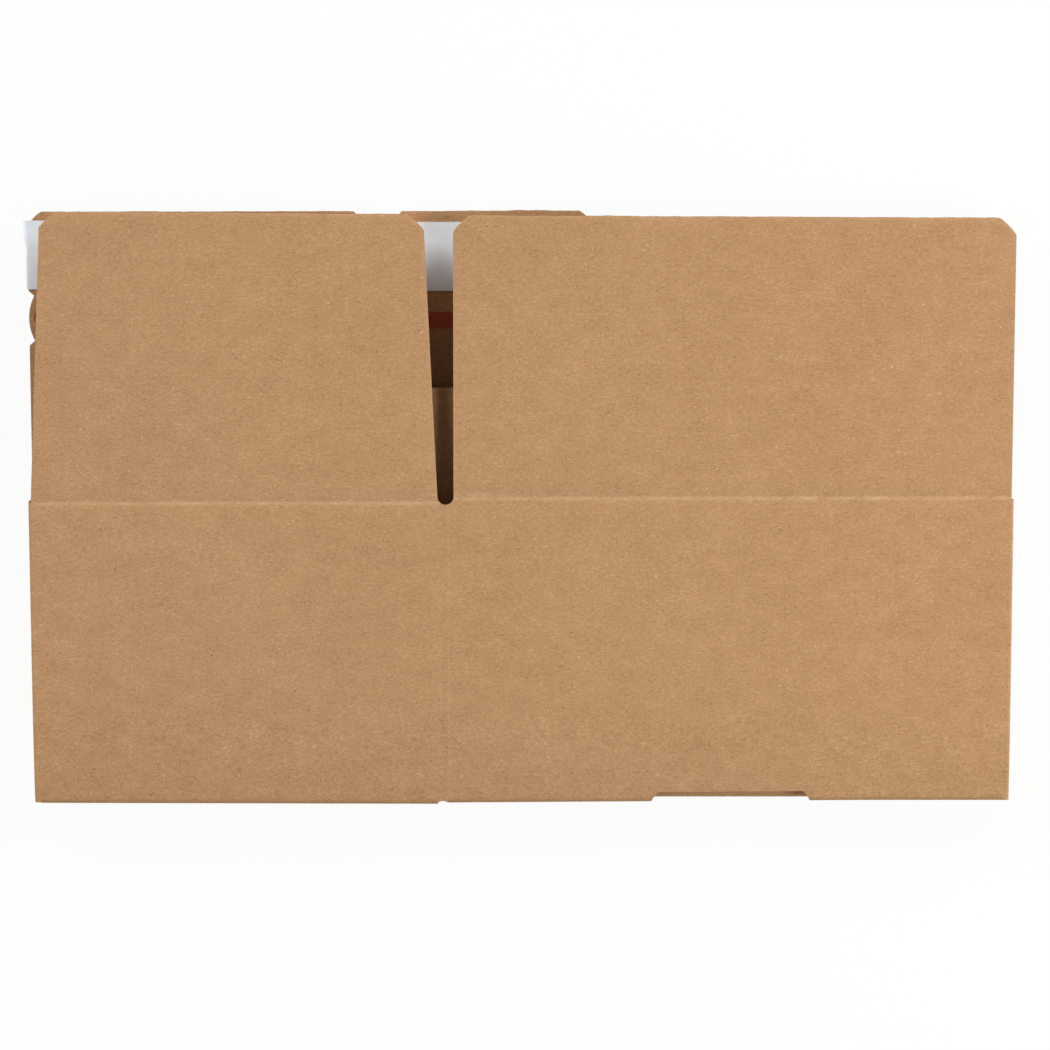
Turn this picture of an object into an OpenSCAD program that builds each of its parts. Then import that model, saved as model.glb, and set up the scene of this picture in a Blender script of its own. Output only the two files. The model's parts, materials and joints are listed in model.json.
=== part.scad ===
// Auto-lock bottom carton folded flat and lying on its back panels, front panels up
// X runs across the panels, Y from the bottom folds to the top flaps, Z up through the layers

/* [Panels] */
// Width of each wide panel of the sheet, crease to crease
side_w = 220.1; // [180:0.5:280]
// Width of each narrow panel of the sheet, crease to crease
end_w = 161.3; // [140:0.5:200]
// Height of the wide panels, bottom crease to top crease
body_h = 117.3; // [100:0.5:150]
// How far the top creases of the narrow panels lie below those of the wide panels
top_step = 1.7; // [0.6:0.1:3]
// How far the bottom creases of the narrow panels lie below those of the wide panels
bottom_step = 0.9; // [0.3:0.1:2]
// How short of the bottom creases the raw edges beside them stop
raw_inset = 0.5; // [0.2:0.1:1.5]

/* [Board] */
// Thickness of the corrugated board
board_t = 2.6; // [2:0.1:3.5]
// Thickness of each flat facing of the board
facing_t = 0.3; // [0.2:0.05:0.5]
// Thickness of the wavy sheet between the facings
medium_t = 0.3; // [0.2:0.05:0.5]
// Distance from one flute to the next
flute_w = 6.5; // [5:0.1:9]
// Clear space between two layers that lie on each other
layer_gap = 0.25; // [0.1:0.05:0.6]

/* [Creases] */
// Width of the board pressed down along a crease
crease_w = 6; // [3:0.2:9]
// Depth of the dent that a crease leaves in the outer face
crease_dent = 0.3; // [0.1:0.05:0.6]
// Depth of the groove that a crease leaves in the inner face
crease_groove = 1.3; // [0.5:0.05:1.6]
// Width of the upright crease between the two front panels
upright_crease_w = 4.4; // [2:0.2:7]
// Clear line left along the crease of each hinged flap
hinge_gap = 0.3; // [0.2:0.05:0.6]
// Inner radius of the two bends in each folded side edge
side_bend_r = 0.4; // [0.2:0.1:2]

/* [Top flaps] */
// Length of the front wide flap from its crease
front_side_flap_h = 105.5; // [90:0.2:130]
// Length of the front narrow flap from its crease
front_end_flap_h = 108.8; // [90:0.2:130]
// Length of the back wide flap from its crease
back_side_flap_h = 107.5; // [90:0.2:130]
// Length of the back narrow flap from its crease
back_end_flap_h = 105.8; // [90:0.2:130]
// Width of the slot between two neighbouring flaps
slot_w = 6.1; // [4:0.1:9]
// How far the wide flaps stand in from the folded edges
flap_inset = 0.9; // [0.4:0.1:3]
// How far the narrow flaps stand in from the folded edges
end_flap_inset = 2.6; // [0.4:0.1:4]
// How far the narrow flaps stand in from the crease beside their slot
slot_inset = 1; // [0.3:0.1:3]
// How far the fold side of a narrow flap leans in from its crease to its cut corner
fold_side_taper = 5; // [1:0.1:9]
// How far the slot side of a narrow flap leans in from its crease to its cut corner
slot_side_taper = 4.6; // [1:0.1:9]
// Width of the cut corners of the wide flaps
corner_cut_w = 7; // [3:0.2:12]
// Height of the cut corners of the wide flaps
corner_cut_h = 7; // [3:0.2:12]
// Width of the cut corners of the narrow flaps
end_cut_w = 6.4; // [3:0.2:12]
// Height of the cut corners of the narrow flaps
end_cut_h = 6.1; // [3:0.2:12]
// Width of the shallow dip in the tip of the back wide flap
dip_w = 15.5; // [8:0.5:30]
// Depth of that dip
dip_d = 1.4; // [0.5:0.1:3]
// Distance from the seam side of the flap to the middle of the dip
dip_from_seam = 82.6; // [40:0.2:120]

/* [Auto-lock bottom] */
// Length of the long bottom flap folded up inside the back wide panel
long_flap_h = 157; // [130:0.5:190]
// Length of the short bottom flap folded up inside the front wide panel
short_flap_h = 95; // [60:0.5:110]
// Length of the two glued bottom flaps folded up inside the narrow panels
glue_flap_h = 76; // [50:0.5:85]
// Lean of the free sides of the bottom flaps
bottom_flap_lean = 9; // [2:0.5:20]
// Clear space beside the bottom flaps
bottom_flap_clear = 1.4; // [0.8:0.1:3]
// Width of the lock notch in the bottom crease of the front wide panel
notch_w = 60.8; // [40:0.2:90]
// Depth of the lock notch
notch_d = 3.1; // [2:0.1:5]
// Slope of the notch's two ends along the crease
notch_slope = 3; // [1:0.1:6]
// Narrowing of the lock tab against its notch
tab_clear = 4; // [2:0.2:8]

/* [Glued seam] */
// Width of the seam flap glued inside the back narrow panel
seam_w = 18; // [14:0.5:45]
// Length of the sloped jog where the seam flap steps inward
seam_jog = 1.2; // [0.6:0.1:3]
// Slant of the ends of the seam flap
seam_slant = 7; // [2:0.5:15]
// Margin around the seam's glue
glue_margin = 5; // [2:0.5:10]

/* [Closing strips] */
// Width of the adhesive strip near the tip of the back wide flap
adhesive_w = 20; // [10:0.5:26]
// Thickness of the adhesive strip
adhesive_t = 0.15; // [0.1:0.05:0.4]
// Width of the release liner over the adhesive
liner_w = 26; // [15:0.5:40]
// Thickness of the release liner
liner_t = 0.12; // [0.08:0.02:0.3]
// Distance from the tip of the back wide flap to the liner
liner_from_tip = 4.2; // [2:0.1:10]
// How far the ear of the liner's free end reaches past the side of the flap
liner_overhang = 1.3; // [1:0.1:8]
// Height of the ear at the liner's free end
liner_ear_h = 5.5; // [2:0.1:12]
// How far the rest of the free end stands back from the ear
liner_ear_step = 1.4; // [1:0.1:5]
// Distance the strips stop short of the seam side of the flap
strip_inset = 1.5; // [0.5:0.1:5]
// Width of the red tear tape
tape_w = 6.3; // [4:0.1:12]
// Thickness of the red tear tape
tape_t = 0.1; // [0.05:0.01:0.3]
// Distance from the tip of the back wide flap to the middle of the tape
tape_from_tip = 41.2; // [36:0.2:60]
// Length of the pull tab along the flap's side
pull_h = 17.1; // [12:0.1:26]
// Depth of the nicks at the two ends of the pull tab
pull_d = 2.1; // [1:0.1:4]
// Length of the slope from each nick back to the flap's side
nick_slope = 1.8; // [0.8:0.1:4]

/* [Hidden] */

// Overrun of every cut past the face it starts from
over = crease_dent;
// Facets of a whole turn on the folds and other rounds
round_n = 48;
// Facets of a whole turn on the pull tab's long edge
long_round_n = 96;
// Steps of a cut corner
corner_steps = 6;
// Roundness of a cut corner: 1 is a straight cut, 2 a round one
corner_power = 1.3;

// Five layers from the back panels up to the front panels
layer_pitch = board_t + layer_gap;
long_z = layer_pitch;
corner_z = long_z + layer_pitch;
short_z = corner_z + layer_pitch;
front_z = short_z + layer_pitch;
stack_t = front_z + board_t;

// Side folds with two bends around all the layers, and half-round bottom folds around two of them
side_fold_r = side_bend_r + board_t;
bottom_fold_r = (layer_pitch + board_t) / 2;
fold_allowance = PI * (side_bend_r + board_t / 2) + stack_t - 4 * side_fold_r;

// Positions across the folded carton
half_w = (side_w + end_w - fold_allowance) / 2;
fold_x = half_w - side_fold_r;
crease_x = end_w - fold_allowance / 2 - half_w;
seam_x = -crease_x;
flap_edge = half_w - flap_inset;
end_flap_edge = half_w - end_flap_inset;
slot_from_x = crease_x - slot_inset;
slot_to_x = slot_from_x + slot_w;
seam_slot_x = crease_x - slot_w;

// Heights of the creases
end_top_y = body_h - top_step;
end_bottom_y = -bottom_step;
clear = hinge_gap / 2;

// Bottom flaps
short_from_x = crease_x + bottom_flap_clear;
end_to_x = crease_x - bottom_flap_clear;
long_to_x = seam_x - bottom_flap_clear;
glued_from_x = seam_x + seam_jog + seam_w + bottom_flap_clear;
diagonal_set = bottom_fold_r * sqrt(2);
notch_x = (slot_to_x + flap_edge) / 2;
lock_x = (long_to_x - fold_x) / 2;
lock_tab_w = notch_w - tab_clear;

// Shares of the flute width taken by the narrow and the wide side of its channel
crest_share = 0.18;
base_share = 0.66;
// Corner shares of the glue patch on a diagonal glue corner
patch_shares = [[0.55, 0.25], [0.92, 0.25], [0.92, 0.8]];

// Cut corners of the wide and of the narrow flaps
side_cut = [corner_cut_w, corner_cut_h];
end_cut = [end_cut_w, end_cut_h];

// Back wide flap
back_tip_y = body_h + back_side_flap_h;
tape_y = back_tip_y - tape_from_tip;
liner_top_y = back_tip_y - liner_from_tip;
liner_mid_y = liner_top_y - liner_w / 2;
strip_to_x = seam_x - strip_inset;
pull_r = pull_h * pull_h / (8 * pull_d) + pull_d / 2;

// Shift that puts the middle of the footprint on the origin
shift_x = (liner_overhang - flap_inset) / 2;
shift_y = -(back_tip_y + end_bottom_y) / 2;

kraft = [0.72, 0.57, 0.43];
glue_colour = [0.93, 0.92, 0.86];
liner_colour = [0.96, 0.96, 0.97];
tape_colour = [0.72, 0.1, 0.1];

carton_body();
front_side_flap();
front_end_flap();
back_side_flap();
back_end_flap();
adhesive_strip();
release_liner();
tear_tape();

// Walls, folded auto-lock bottom and glued seam: one sheet
module carton_body() {
    color(kraft)
    centred()
    difference() {
        union() {
            front_walls();
            back_walls();
            side_folds();
            bottom_folds();
            short_bottom_flap();
            long_bottom_flap();
            glued_corner_flap(fold_x + end_to_x, short_z, long_z);
            mirror([1, 0, 0]) glued_corner_flap(fold_x - glued_from_x, long_z, corner_z);
            seam_flap();
        }
        top_creases();
        upright_crease();
        slot_end();
        lock_notch();
    }
}

// Wide flap at the front right
module front_side_flap() {
    tip_y = body_h + front_side_flap_h;
    color(kraft)
    centred()
    difference() {
        translate([0, 0, front_z])
        linear_extrude(board_t)
        polygon(flap_outline(slot_to_x, flap_edge, body_h + clear, tip_y, 0, 0, side_cut));
        crease_cut(slot_to_x, flap_edge, body_h, front_z, true);
        translate([0, 0, front_z])
        flutes(slot_to_x + facing_t, flap_edge - facing_t, body_h + crease_w, tip_y + over);
    }
}

// Narrow flap at the front left
module front_end_flap() {
    tip_y = end_top_y + front_end_flap_h;
    color(kraft)
    centred()
    difference() {
        translate([0, 0, front_z])
        linear_extrude(board_t)
        polygon(leaning_flap(-end_flap_edge, slot_from_x, tip_y));
        crease_cut(-end_flap_edge, slot_from_x, end_top_y, front_z, true);
        translate([0, 0, front_z])
        leaning_flutes(-end_flap_edge, slot_from_x, end_top_y + crease_w, tip_y + over);
    }
}

// Wide flap at the back left, with the pull tab of the tear tape in its side
module back_side_flap() {
    color(kraft)
    centred()
    difference() {
        linear_extrude(board_t)
        difference() {
            polygon(flap_outline(-flap_edge, seam_x, body_h + clear, back_tip_y, 0, 0, side_cut));
            tip_dip();
            pull_tab_nicks();
        }
        crease_cut(-flap_edge, seam_x, body_h, 0, false);
        flutes(-flap_edge + pull_d + facing_t, seam_x - facing_t, body_h + crease_w, back_tip_y + over);
    }
}

// Narrow flap at the back right, its fold side to the right
module back_end_flap() {
    tip_y = end_top_y + back_end_flap_h;
    color(kraft)
    centred()
    mirror([1, 0, 0])
    difference() {
        linear_extrude(board_t)
        polygon(leaning_flap(-end_flap_edge, seam_slot_x, tip_y));
        crease_cut(-end_flap_edge, seam_slot_x, end_top_y, 0, false);
        leaning_flutes(-end_flap_edge, seam_slot_x, end_top_y + crease_w, tip_y + over);
    }
}

// Adhesive on the inner face of the back wide flap
module adhesive_strip() {
    color(glue_colour)
    centred()
    translate([0, 0, board_t])
    linear_extrude(adhesive_t)
    box_2d(-flap_edge + liner_ear_step, strip_to_x,
           liner_mid_y - adhesive_w / 2, liner_mid_y + adhesive_w / 2);
}

// Release liner over the adhesive, with an ear to peel it by at its free end
module release_liner() {
    ear_x = -flap_edge - liner_overhang;
    low_y = liner_top_y - liner_w;
    color(liner_colour)
    centred()
    translate([0, 0, board_t + adhesive_t])
    linear_extrude(liner_t)
    polygon([[ear_x, liner_top_y], [ear_x, liner_top_y - liner_ear_h],
             [ear_x + liner_ear_step, liner_top_y - 2 * liner_ear_h], [ear_x + liner_ear_step, low_y],
             [strip_to_x, low_y], [strip_to_x, liner_top_y]]);
}

// Tear tape on the inner face of the back wide flap, starting at the pull tab
module tear_tape() {
    color(tape_colour)
    centred()
    translate([0, 0, board_t])
    linear_extrude(tape_t)
    box_2d(-flap_edge + pull_d / 2, strip_to_x, tape_y - tape_w / 2, tape_y + tape_w / 2);
}

// Two front panels in one plane
module front_walls() {
    translate([0, 0, front_z])
    linear_extrude(board_t) {
        box_2d(crease_x, fold_x, bottom_fold_r, body_h - clear);
        box_2d(-fold_x, crease_x, end_bottom_y + bottom_fold_r, end_top_y - clear);
        box_2d(end_to_x, short_from_x, raw_inset, body_h / 2);
    }
}

// Two back panels in one plane, parted at the seam
module back_walls() {
    linear_extrude(board_t) {
        box_2d(-fold_x, seam_x, bottom_fold_r, body_h - clear);
        box_2d(long_to_x, seam_x, raw_inset, body_h / 2);
        box_2d(seam_x + seam_jog, fold_x, end_bottom_y + bottom_fold_r, end_top_y - clear);
        box_2d(seam_x + seam_jog, glued_from_x, raw_inset, body_h / 2);
    }
}

// Folds at the left and right: two bends with an upright between them, whose flute is open at both ends
module side_folds() {
    for (side = [0, 1])
        mirror([side, 0, 0])
        along_y(raw_inset, end_top_y - clear)
        difference() {
            translate([fold_x, 0]) bent_edge(side_fold_r, stack_t);
            translate([fold_x, board_t]) bent_edge(side_bend_r, stack_t - 2 * board_t);
            translate([half_w, stack_t / 2])
            rotate(90)
            polygon(channel(board_t - facing_t, facing_t + medium_t));
        }
}

// End of a folded stack seen along the fold: a strip of a bend's width with its two outer corners round
module bent_edge(r, height) {
    translate([0, r]) half_disc(r);
    translate([0, height - r]) half_disc(r);
    translate([0, r]) square([r, height - 2 * r]);
}

// Half-round folds from each panel into its bottom flap
module bottom_folds() {
    bottom_fold(short_from_x, fold_x, 0, stack_t - bottom_fold_r);
    bottom_fold(-fold_x, end_to_x, end_bottom_y, stack_t - bottom_fold_r);
    bottom_fold(-fold_x, long_to_x, 0, bottom_fold_r);
    bottom_fold(glued_from_x, fold_x, end_bottom_y, bottom_fold_r);
}

module bottom_fold(from_x, to_x, low_y, mid_z) {
    along_x(from_x, to_x)
    translate([low_y + bottom_fold_r, mid_z])
    rotate(180)
    half_disc(bottom_fold_r);
}

// Short bottom flap under the front wide panel
module short_bottom_flap() {
    translate([0, 0, short_z])
    linear_extrude(board_t)
    polygon([[short_from_x, bottom_fold_r], [fold_x, bottom_fold_r],
             [fold_x - bottom_flap_lean, short_flap_h], [short_from_x + bottom_flap_lean, short_flap_h]]);
}

// Long bottom flap over the back wide panel, with the lock tab on its tip
module long_bottom_flap() {
    translate([0, 0, long_z])
    difference() {
        linear_extrude(board_t) {
            polygon(flap_outline(-fold_x, long_to_x, bottom_fold_r, long_flap_h, 0, 0, side_cut));
            polygon([[lock_x - lock_tab_w / 2, long_flap_h], [lock_x + lock_tab_w / 2, long_flap_h],
                     [lock_x + lock_tab_w / 2 - notch_slope, long_flap_h + board_t],
                     [lock_x - lock_tab_w / 2 + notch_slope, long_flap_h + board_t]]);
        }
        flutes(-fold_x + facing_t, long_to_x - facing_t, crease_w + bottom_fold_r,
               long_flap_h + board_t + over);
    }
}

// Bottom flap of a narrow panel: its corner is folded back along a diagonal and glued to the next flap
module glued_corner_flap(width, flap_z, patch_z) {
    low_y = end_bottom_y + bottom_fold_r;
    tip_x = diagonal_set + glue_flap_h;
    start_x = diagonal_set + low_y;
    translate([-fold_x, 0, 0]) {
        translate([0, 0, flap_z])
        linear_extrude(board_t)
        polygon([[start_x, low_y], [width, low_y], [width - bottom_flap_lean, glue_flap_h],
                 [tip_x, glue_flap_h]]);
        translate([0, 0, corner_z])
        linear_extrude(board_t)
        polygon([[start_x, low_y], [tip_x, low_y + bottom_flap_lean], [tip_x, glue_flap_h]]);
        translate([start_x, low_y, (flap_z + corner_z + board_t) / 2])
        rotate([0, 0, 45])
        along_x(0, (glue_flap_h - low_y) * sqrt(2))
        half_disc(bottom_fold_r);
        translate([diagonal_set, 0, patch_z + board_t])
        linear_extrude(layer_gap)
        polygon(patch_shares * glue_flap_h);
    }
}

// Seam flap: steps inward from the back wide panel and is glued inside the back narrow panel
module seam_flap() {
    to_x = seam_x + seam_jog + seam_w;
    low_y = bottom_fold_r;
    high_y = end_top_y - crease_w;
    along_y(low_y, high_y)
    polygon([[seam_x - seam_jog, 0], [seam_x, 0], [seam_x + seam_jog, layer_pitch],
             [seam_x + seam_jog, layer_pitch + board_t], [seam_x, layer_pitch + board_t],
             [seam_x - seam_jog, board_t]]);
    translate([0, 0, layer_pitch])
    linear_extrude(board_t)
    polygon([[seam_x + seam_jog, low_y], [to_x, low_y + seam_slant], [to_x, high_y - seam_slant],
             [seam_x + seam_jog, high_y]]);
    translate([0, 0, board_t])
    linear_extrude(layer_gap)
    box_2d(seam_x + seam_jog + glue_margin, to_x - glue_margin,
           low_y + seam_slant + glue_margin, high_y - seam_slant - glue_margin);
}

// Creases of the four top flaps as they show in the panels
module top_creases() {
    crease_cut(crease_x, fold_x, body_h, front_z, true);
    crease_cut(-fold_x, crease_x, end_top_y, front_z, true);
    crease_cut(-fold_x, seam_x, body_h, 0, false);
    crease_cut(seam_x, fold_x, end_top_y, 0, false);
}

// Crease between the two front panels
module upright_crease() {
    half = upright_crease_w / 2;
    along_y(-bottom_fold_r, body_h + over) {
        polygon([[crease_x - half, stack_t + over], [crease_x - half, stack_t],
                 [crease_x, stack_t - crease_dent], [crease_x + half, stack_t],
                 [crease_x + half, stack_t + over]]);
        polygon([[crease_x - half, front_z - layer_gap], [crease_x - half, front_z],
                 [crease_x, front_z + crease_groove], [crease_x + half, front_z],
                 [crease_x + half, front_z - layer_gap]]);
    }
}

// Round end of the slot between the two front flaps
module slot_end() {
    translate([(slot_from_x + slot_to_x) / 2, body_h, front_z - layer_gap / 2])
    cylinder(board_t + layer_gap, r = slot_w / 2, $fn = round_n);
}

// Lock notch through the bottom fold of the front wide panel
module lock_notch() {
    half = notch_w / 2;
    cut = [notch_slope, notch_d];
    translate([0, 0, stack_t - 2 * bottom_fold_r - layer_gap / 2])
    linear_extrude(2 * bottom_fold_r + layer_gap)
    polygon(concat([[notch_x - half, -over], [notch_x + half, -over]],
                   cut_corner(notch_x + half - notch_slope, 0, cut, 0),
                   cut_corner(notch_x - half + notch_slope, 0, cut, 90)));
}

// Shallow dip in the tip of the back wide flap
module tip_dip() {
    mid_x = seam_x - dip_from_seam;
    polygon([[mid_x - dip_w / 2 - dip_d, back_tip_y + over], [mid_x - dip_w / 2, back_tip_y - dip_d],
             [mid_x + dip_w / 2, back_tip_y - dip_d], [mid_x + dip_w / 2 + dip_d, back_tip_y + over]]);
}

// Bite out of the flap's side that leaves the round pull tab standing between two nicks
module pull_tab_nicks() {
    difference() {
        polygon([[-flap_edge - over, tape_y - pull_h / 2 - nick_slope - over],
                 [-flap_edge + pull_d, tape_y - pull_h / 2],
                 [-flap_edge + pull_d, tape_y + pull_h / 2],
                 [-flap_edge - over, tape_y + pull_h / 2 + nick_slope + over]]);
        translate([pull_r - flap_edge, tape_y]) circle(pull_r, $fn = long_round_n);
    }
}

// Pressed line of a crease along X: a dent in the outer face and a groove in the inner face
module crease_cut(from_x, to_x, y, low_z, outer_up) {
    half = crease_w / 2;
    up_d = outer_up ? crease_dent : crease_groove;
    down_d = outer_up ? crease_groove : crease_dent;
    reach = layer_gap / 2;
    high_z = low_z + board_t;
    along_x(from_x - reach, to_x + reach) {
        polygon([[y - half, high_z + reach], [y - half, high_z], [y, high_z - up_d], [y + half, high_z],
                 [y + half, high_z + reach]]);
        polygon([[y - half, low_z - reach], [y - half, low_z], [y, low_z + down_d], [y + half, low_z],
                 [y + half, low_z - reach]]);
    }
}

// Channels of the flutes across a width, open at their upper end
module flutes(from_x, to_x, low_y, high_y) {
    count = floor((to_x - from_x) / flute_w - crest_share);
    first_x = (from_x + to_x - (count - 1 / 2) * flute_w) / 2;
    along_y(low_y, high_y)
    for (i = [0 : count - 1]) {
        translate([first_x + i * flute_w, 0])
        polygon(channel(facing_t, board_t - facing_t - medium_t));
        translate([first_x + (i + 1 / 2) * flute_w, 0])
        polygon(channel(board_t - facing_t, facing_t + medium_t));
    }
}

// Flutes of a flap with leaning sides, kept inside its narrow end
module leaning_flutes(from_x, to_x, low_y, high_y) {
    flutes(from_x + fold_side_taper + facing_t, to_x - slot_side_taper - facing_t, low_y, high_y);
}

// Section of one flute's channel, wide side first
function channel(base_z, crest_z) =
    let (base = base_share * flute_w / 2, crest = crest_share * flute_w / 2)
    [[-base, base_z], [base, base_z], [crest, crest_z], [-crest, crest_z]];

// Outline of a flap whose sides lean in and whose tip has two cut corners, given as width and height
function flap_outline(from_x, to_x, low_y, tip_y, left_lean, right_lean, cut) =
    concat([[from_x, low_y], [to_x, low_y]],
           cut_corner(to_x - right_lean - cut[0], tip_y - cut[1], cut, 0),
           cut_corner(from_x + left_lean + cut[0], tip_y - cut[1], cut, 90));

// Outline of a narrow flap, its fold side to the left
function leaning_flap(from_x, to_x, tip_y) =
    flap_outline(from_x, to_x, end_top_y + clear, tip_y, fold_side_taper, slot_side_taper, end_cut);

// Quarter of a superellipse around a point, from the given angle on
function cut_corner(x, y, cut, from) =
    [for (i = [0 : corner_steps])
        let (angle = from + 90 * i / corner_steps)
        [x + cut[0] * squared_off(cos(angle)), y + cut[1] * squared_off(sin(angle))]];

function squared_off(a) = sign(a) * pow(abs(a), 2 / corner_power);

// Places a piece so that the middle of the footprint is on the origin
module centred() {
    translate([shift_x, shift_y, 0]) children();
}

// Half of a disc on the side of growing first coordinate
module half_disc(r) {
    intersection() {
        circle(r, $fn = round_n);
        translate([0, -r]) square([r, 2 * r]);
    }
}

module box_2d(from_x, to_x, low_y, high_y) {
    translate([from_x, low_y]) square([to_x - from_x, high_y - low_y]);
}

// Section drawn in X and Z, carried along Y
module along_y(low_y, high_y) {
    translate([0, high_y, 0])
    rotate([90, 0, 0])
    linear_extrude(high_y - low_y)
    children();
}

// Section drawn in Y and Z, carried along X
module along_x(from_x, to_x) {
    translate([from_x, 0, 0])
    rotate([90, 0, 90])
    linear_extrude(to_x - from_x)
    children();
}
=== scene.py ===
import json
import math
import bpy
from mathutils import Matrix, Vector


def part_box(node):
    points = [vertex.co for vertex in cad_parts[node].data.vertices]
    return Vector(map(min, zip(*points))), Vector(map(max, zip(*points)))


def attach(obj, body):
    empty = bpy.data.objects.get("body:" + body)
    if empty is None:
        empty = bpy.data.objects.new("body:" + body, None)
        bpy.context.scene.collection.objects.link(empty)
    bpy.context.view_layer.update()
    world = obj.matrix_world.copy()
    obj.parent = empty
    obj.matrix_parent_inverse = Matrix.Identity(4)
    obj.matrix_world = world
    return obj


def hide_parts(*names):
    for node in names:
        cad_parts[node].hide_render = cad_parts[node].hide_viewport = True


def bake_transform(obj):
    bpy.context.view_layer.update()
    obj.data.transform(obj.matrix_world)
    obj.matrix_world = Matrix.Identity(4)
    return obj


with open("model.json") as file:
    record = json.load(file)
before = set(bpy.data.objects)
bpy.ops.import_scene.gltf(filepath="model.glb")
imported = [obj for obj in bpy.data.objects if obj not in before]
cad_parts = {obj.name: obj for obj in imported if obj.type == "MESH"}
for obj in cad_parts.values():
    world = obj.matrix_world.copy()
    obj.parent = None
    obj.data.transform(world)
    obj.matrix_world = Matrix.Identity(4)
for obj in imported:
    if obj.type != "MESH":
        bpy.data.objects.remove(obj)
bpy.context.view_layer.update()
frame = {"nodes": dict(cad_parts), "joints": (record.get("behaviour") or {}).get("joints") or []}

from types import SimpleNamespace

import bpy
import numpy as np
from bpy.props import FloatProperty, FloatVectorProperty, PointerProperty

bl_info = {
    "name": "Auto-lock carton dressing",
    "version": (1, 0, 0),
    "blender": (4, 5, 0),
    "location": "3D View > Sidebar > Carton",
    "description": "Builds a flat-folded auto-lock carton of corrugated board around its CAD frame",
    "category": "Object",
}

# All shapes are worked out in millimetres in the frame's own axes and written to the meshes in metres.
MM = 0.001
HINGES = {j["name"]: np.array(j["pos_m"]) / MM for j in frame["joints"]}


def node_box(node):
    """Lowest and highest corner of a CAD node in millimetres."""
    low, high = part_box(node)
    return np.array(low) / MM, np.array(high) / MM


BODY_LOW, BODY_HIGH = node_box("carton_body")
FRONT_WIDE = node_box("front_side_flap")
FRONT_NARROW = node_box("front_end_flap")
BACK_WIDE = node_box("back_side_flap")
BACK_NARROW = node_box("back_end_flap")
LINER = node_box("release_liner")
TAPE = node_box("tear_tape")
WIDE_Y = HINGES["front_side_flap_crease"][1]
NARROW_Y = HINGES["front_end_flap_crease"][1]
MID_X = (BODY_LOW[0] + BODY_HIGH[0]) / 2
HALF_W = (BODY_HIGH[0] - BODY_LOW[0]) / 2
STACK = BODY_HIGH[2]
# Height of the front and of the back outer face, each with the direction from it into the board
FRONT_FACE, BACK_FACE = (STACK, -1.0), (0.0, 1.0)
# Play of the die cut: how far the slot stands to the left and the left fold and back flap stand in
SLOT_PLAY, FOLD_PLAY, BACK_PLAY = 0.35, 1.15, 0.4
LEFT_X, RIGHT_X = MID_X - HALF_W + FOLD_PLAY, MID_X + HALF_W
FRONT_NARROW[0][0] -= SLOT_PLAY
FRONT_NARROW[1][0] -= SLOT_PLAY
FRONT_WIDE[0][0] -= SLOT_PLAY
BACK_WIDE[0][0] += BACK_PLAY
SLOT_X = (FRONT_NARROW[1][0] + FRONT_WIDE[0][0]) / 2
SLOT_R = (FRONT_WIDE[0][0] - FRONT_NARROW[1][0]) / 2
SEAM_X = BACK_WIDE[1][0]
UPRIGHT_X = 2 * MID_X - SEAM_X
# Roundness of a cut corner: 1 is a straight cut and 2 a round one
CORNER_POWER = 1.15
# Roundness of the lock notch's upper corners: 1 is a straight slope and more is rounder
NOTCH_POWER = 2.0
# Roundness of the bottom folds: 2 is a half circle and more is squarer
NOSE_POWER = 3.4
# How far the tops of the fluting's wave are flattened: near 0 it is a plain cosine and more is squarer
FLAT_TOPS = 1.6
# Spacing of the grid lines across the board, across its wavy middle sheet and along a raw edge
STEP, WAVE_STEP, RAW_STEP = 1.3, 0.6, 0.4
# Width of the narrow column where one bottom edge steps to another
HAIR = 0.1
# Height of a cut that no part of the board reaches, and a distance at which a crease has no effect
NO_CUT, FAR_OFF = -1000.0, 1000.0
# Length of the long bottom flap's plain root, above which its open fluting starts
FLAP_ROOT = 9.0
# Faces that meet at a sharper turn than this many degrees keep a hard edge
SHARP_ANGLE = 38.0
# Width of the camera's sensor, for which the lens is given
SENSOR_W = 36.0


def length(label, text, size):
    """A length property whose default is given in millimetres."""
    return FloatProperty(name=label, description=text, default=size * MM, min=0.0, precision=5,
                         subtype="DISTANCE", unit="LENGTH")


def colour(label, text, value):
    """A linear colour property."""
    return FloatVectorProperty(name=label, description=text, default=value, size=4, min=0.0, max=1.0,
                               subtype="COLOR")


def spot(label, text, value):
    """A place in the scene in metres."""
    return FloatVectorProperty(name=label, description=text, default=value, size=3, precision=5,
                               subtype="TRANSLATION", unit="LENGTH")


def amount(label, text, value):
    """A plain number that isn't negative."""
    return FloatProperty(name=label, description=text, default=value, min=0.0)


class CartonBoard(bpy.types.PropertyGroup):
    """Sizes of the corrugated board and of its folds."""

    thickness: length("Board", "Thickness of the corrugated board", 2.6)
    facing: length("Facing", "Thickness of each flat facing", 0.3)
    medium: length("Medium", "Thickness of the wavy sheet between the facings", 0.26)
    flute: length("Flute pitch", "Distance from one flute to the next", 6.5)
    gap: length("Layer gap", "Clear space between two layers", 0.25)
    washboard: length("Washboard", "Depth of the facing between two flute tips", 0.035)
    dent: length("Crease dent", "Depth of a crease in the outer face", 0.2)
    groove: length("Crease groove", "Depth of a crease in the inner face", 1.3)
    strip: length("Crease strip", "Half width of the board that bends in a crease", 1.0)
    corner: length("Fold corner", "Outer radius of the two bends in a side fold", 1.2)
    pinch: length("Cut pinch", "How far the die presses the board down at a cut edge", 0.12)
    rough: length("Cut roughness", "Height of the fibres along a cut edge", 0.1)
    sag: length("Bottom sag", "How far the front panels sink towards the bottom folds", 1.9)
    sag_reach: length("Sag reach", "Distance from the bottom over which they sink", 43.0)
    droop: length("Side droop", "How far the front panels sink along the side folds", 0.12)


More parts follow.
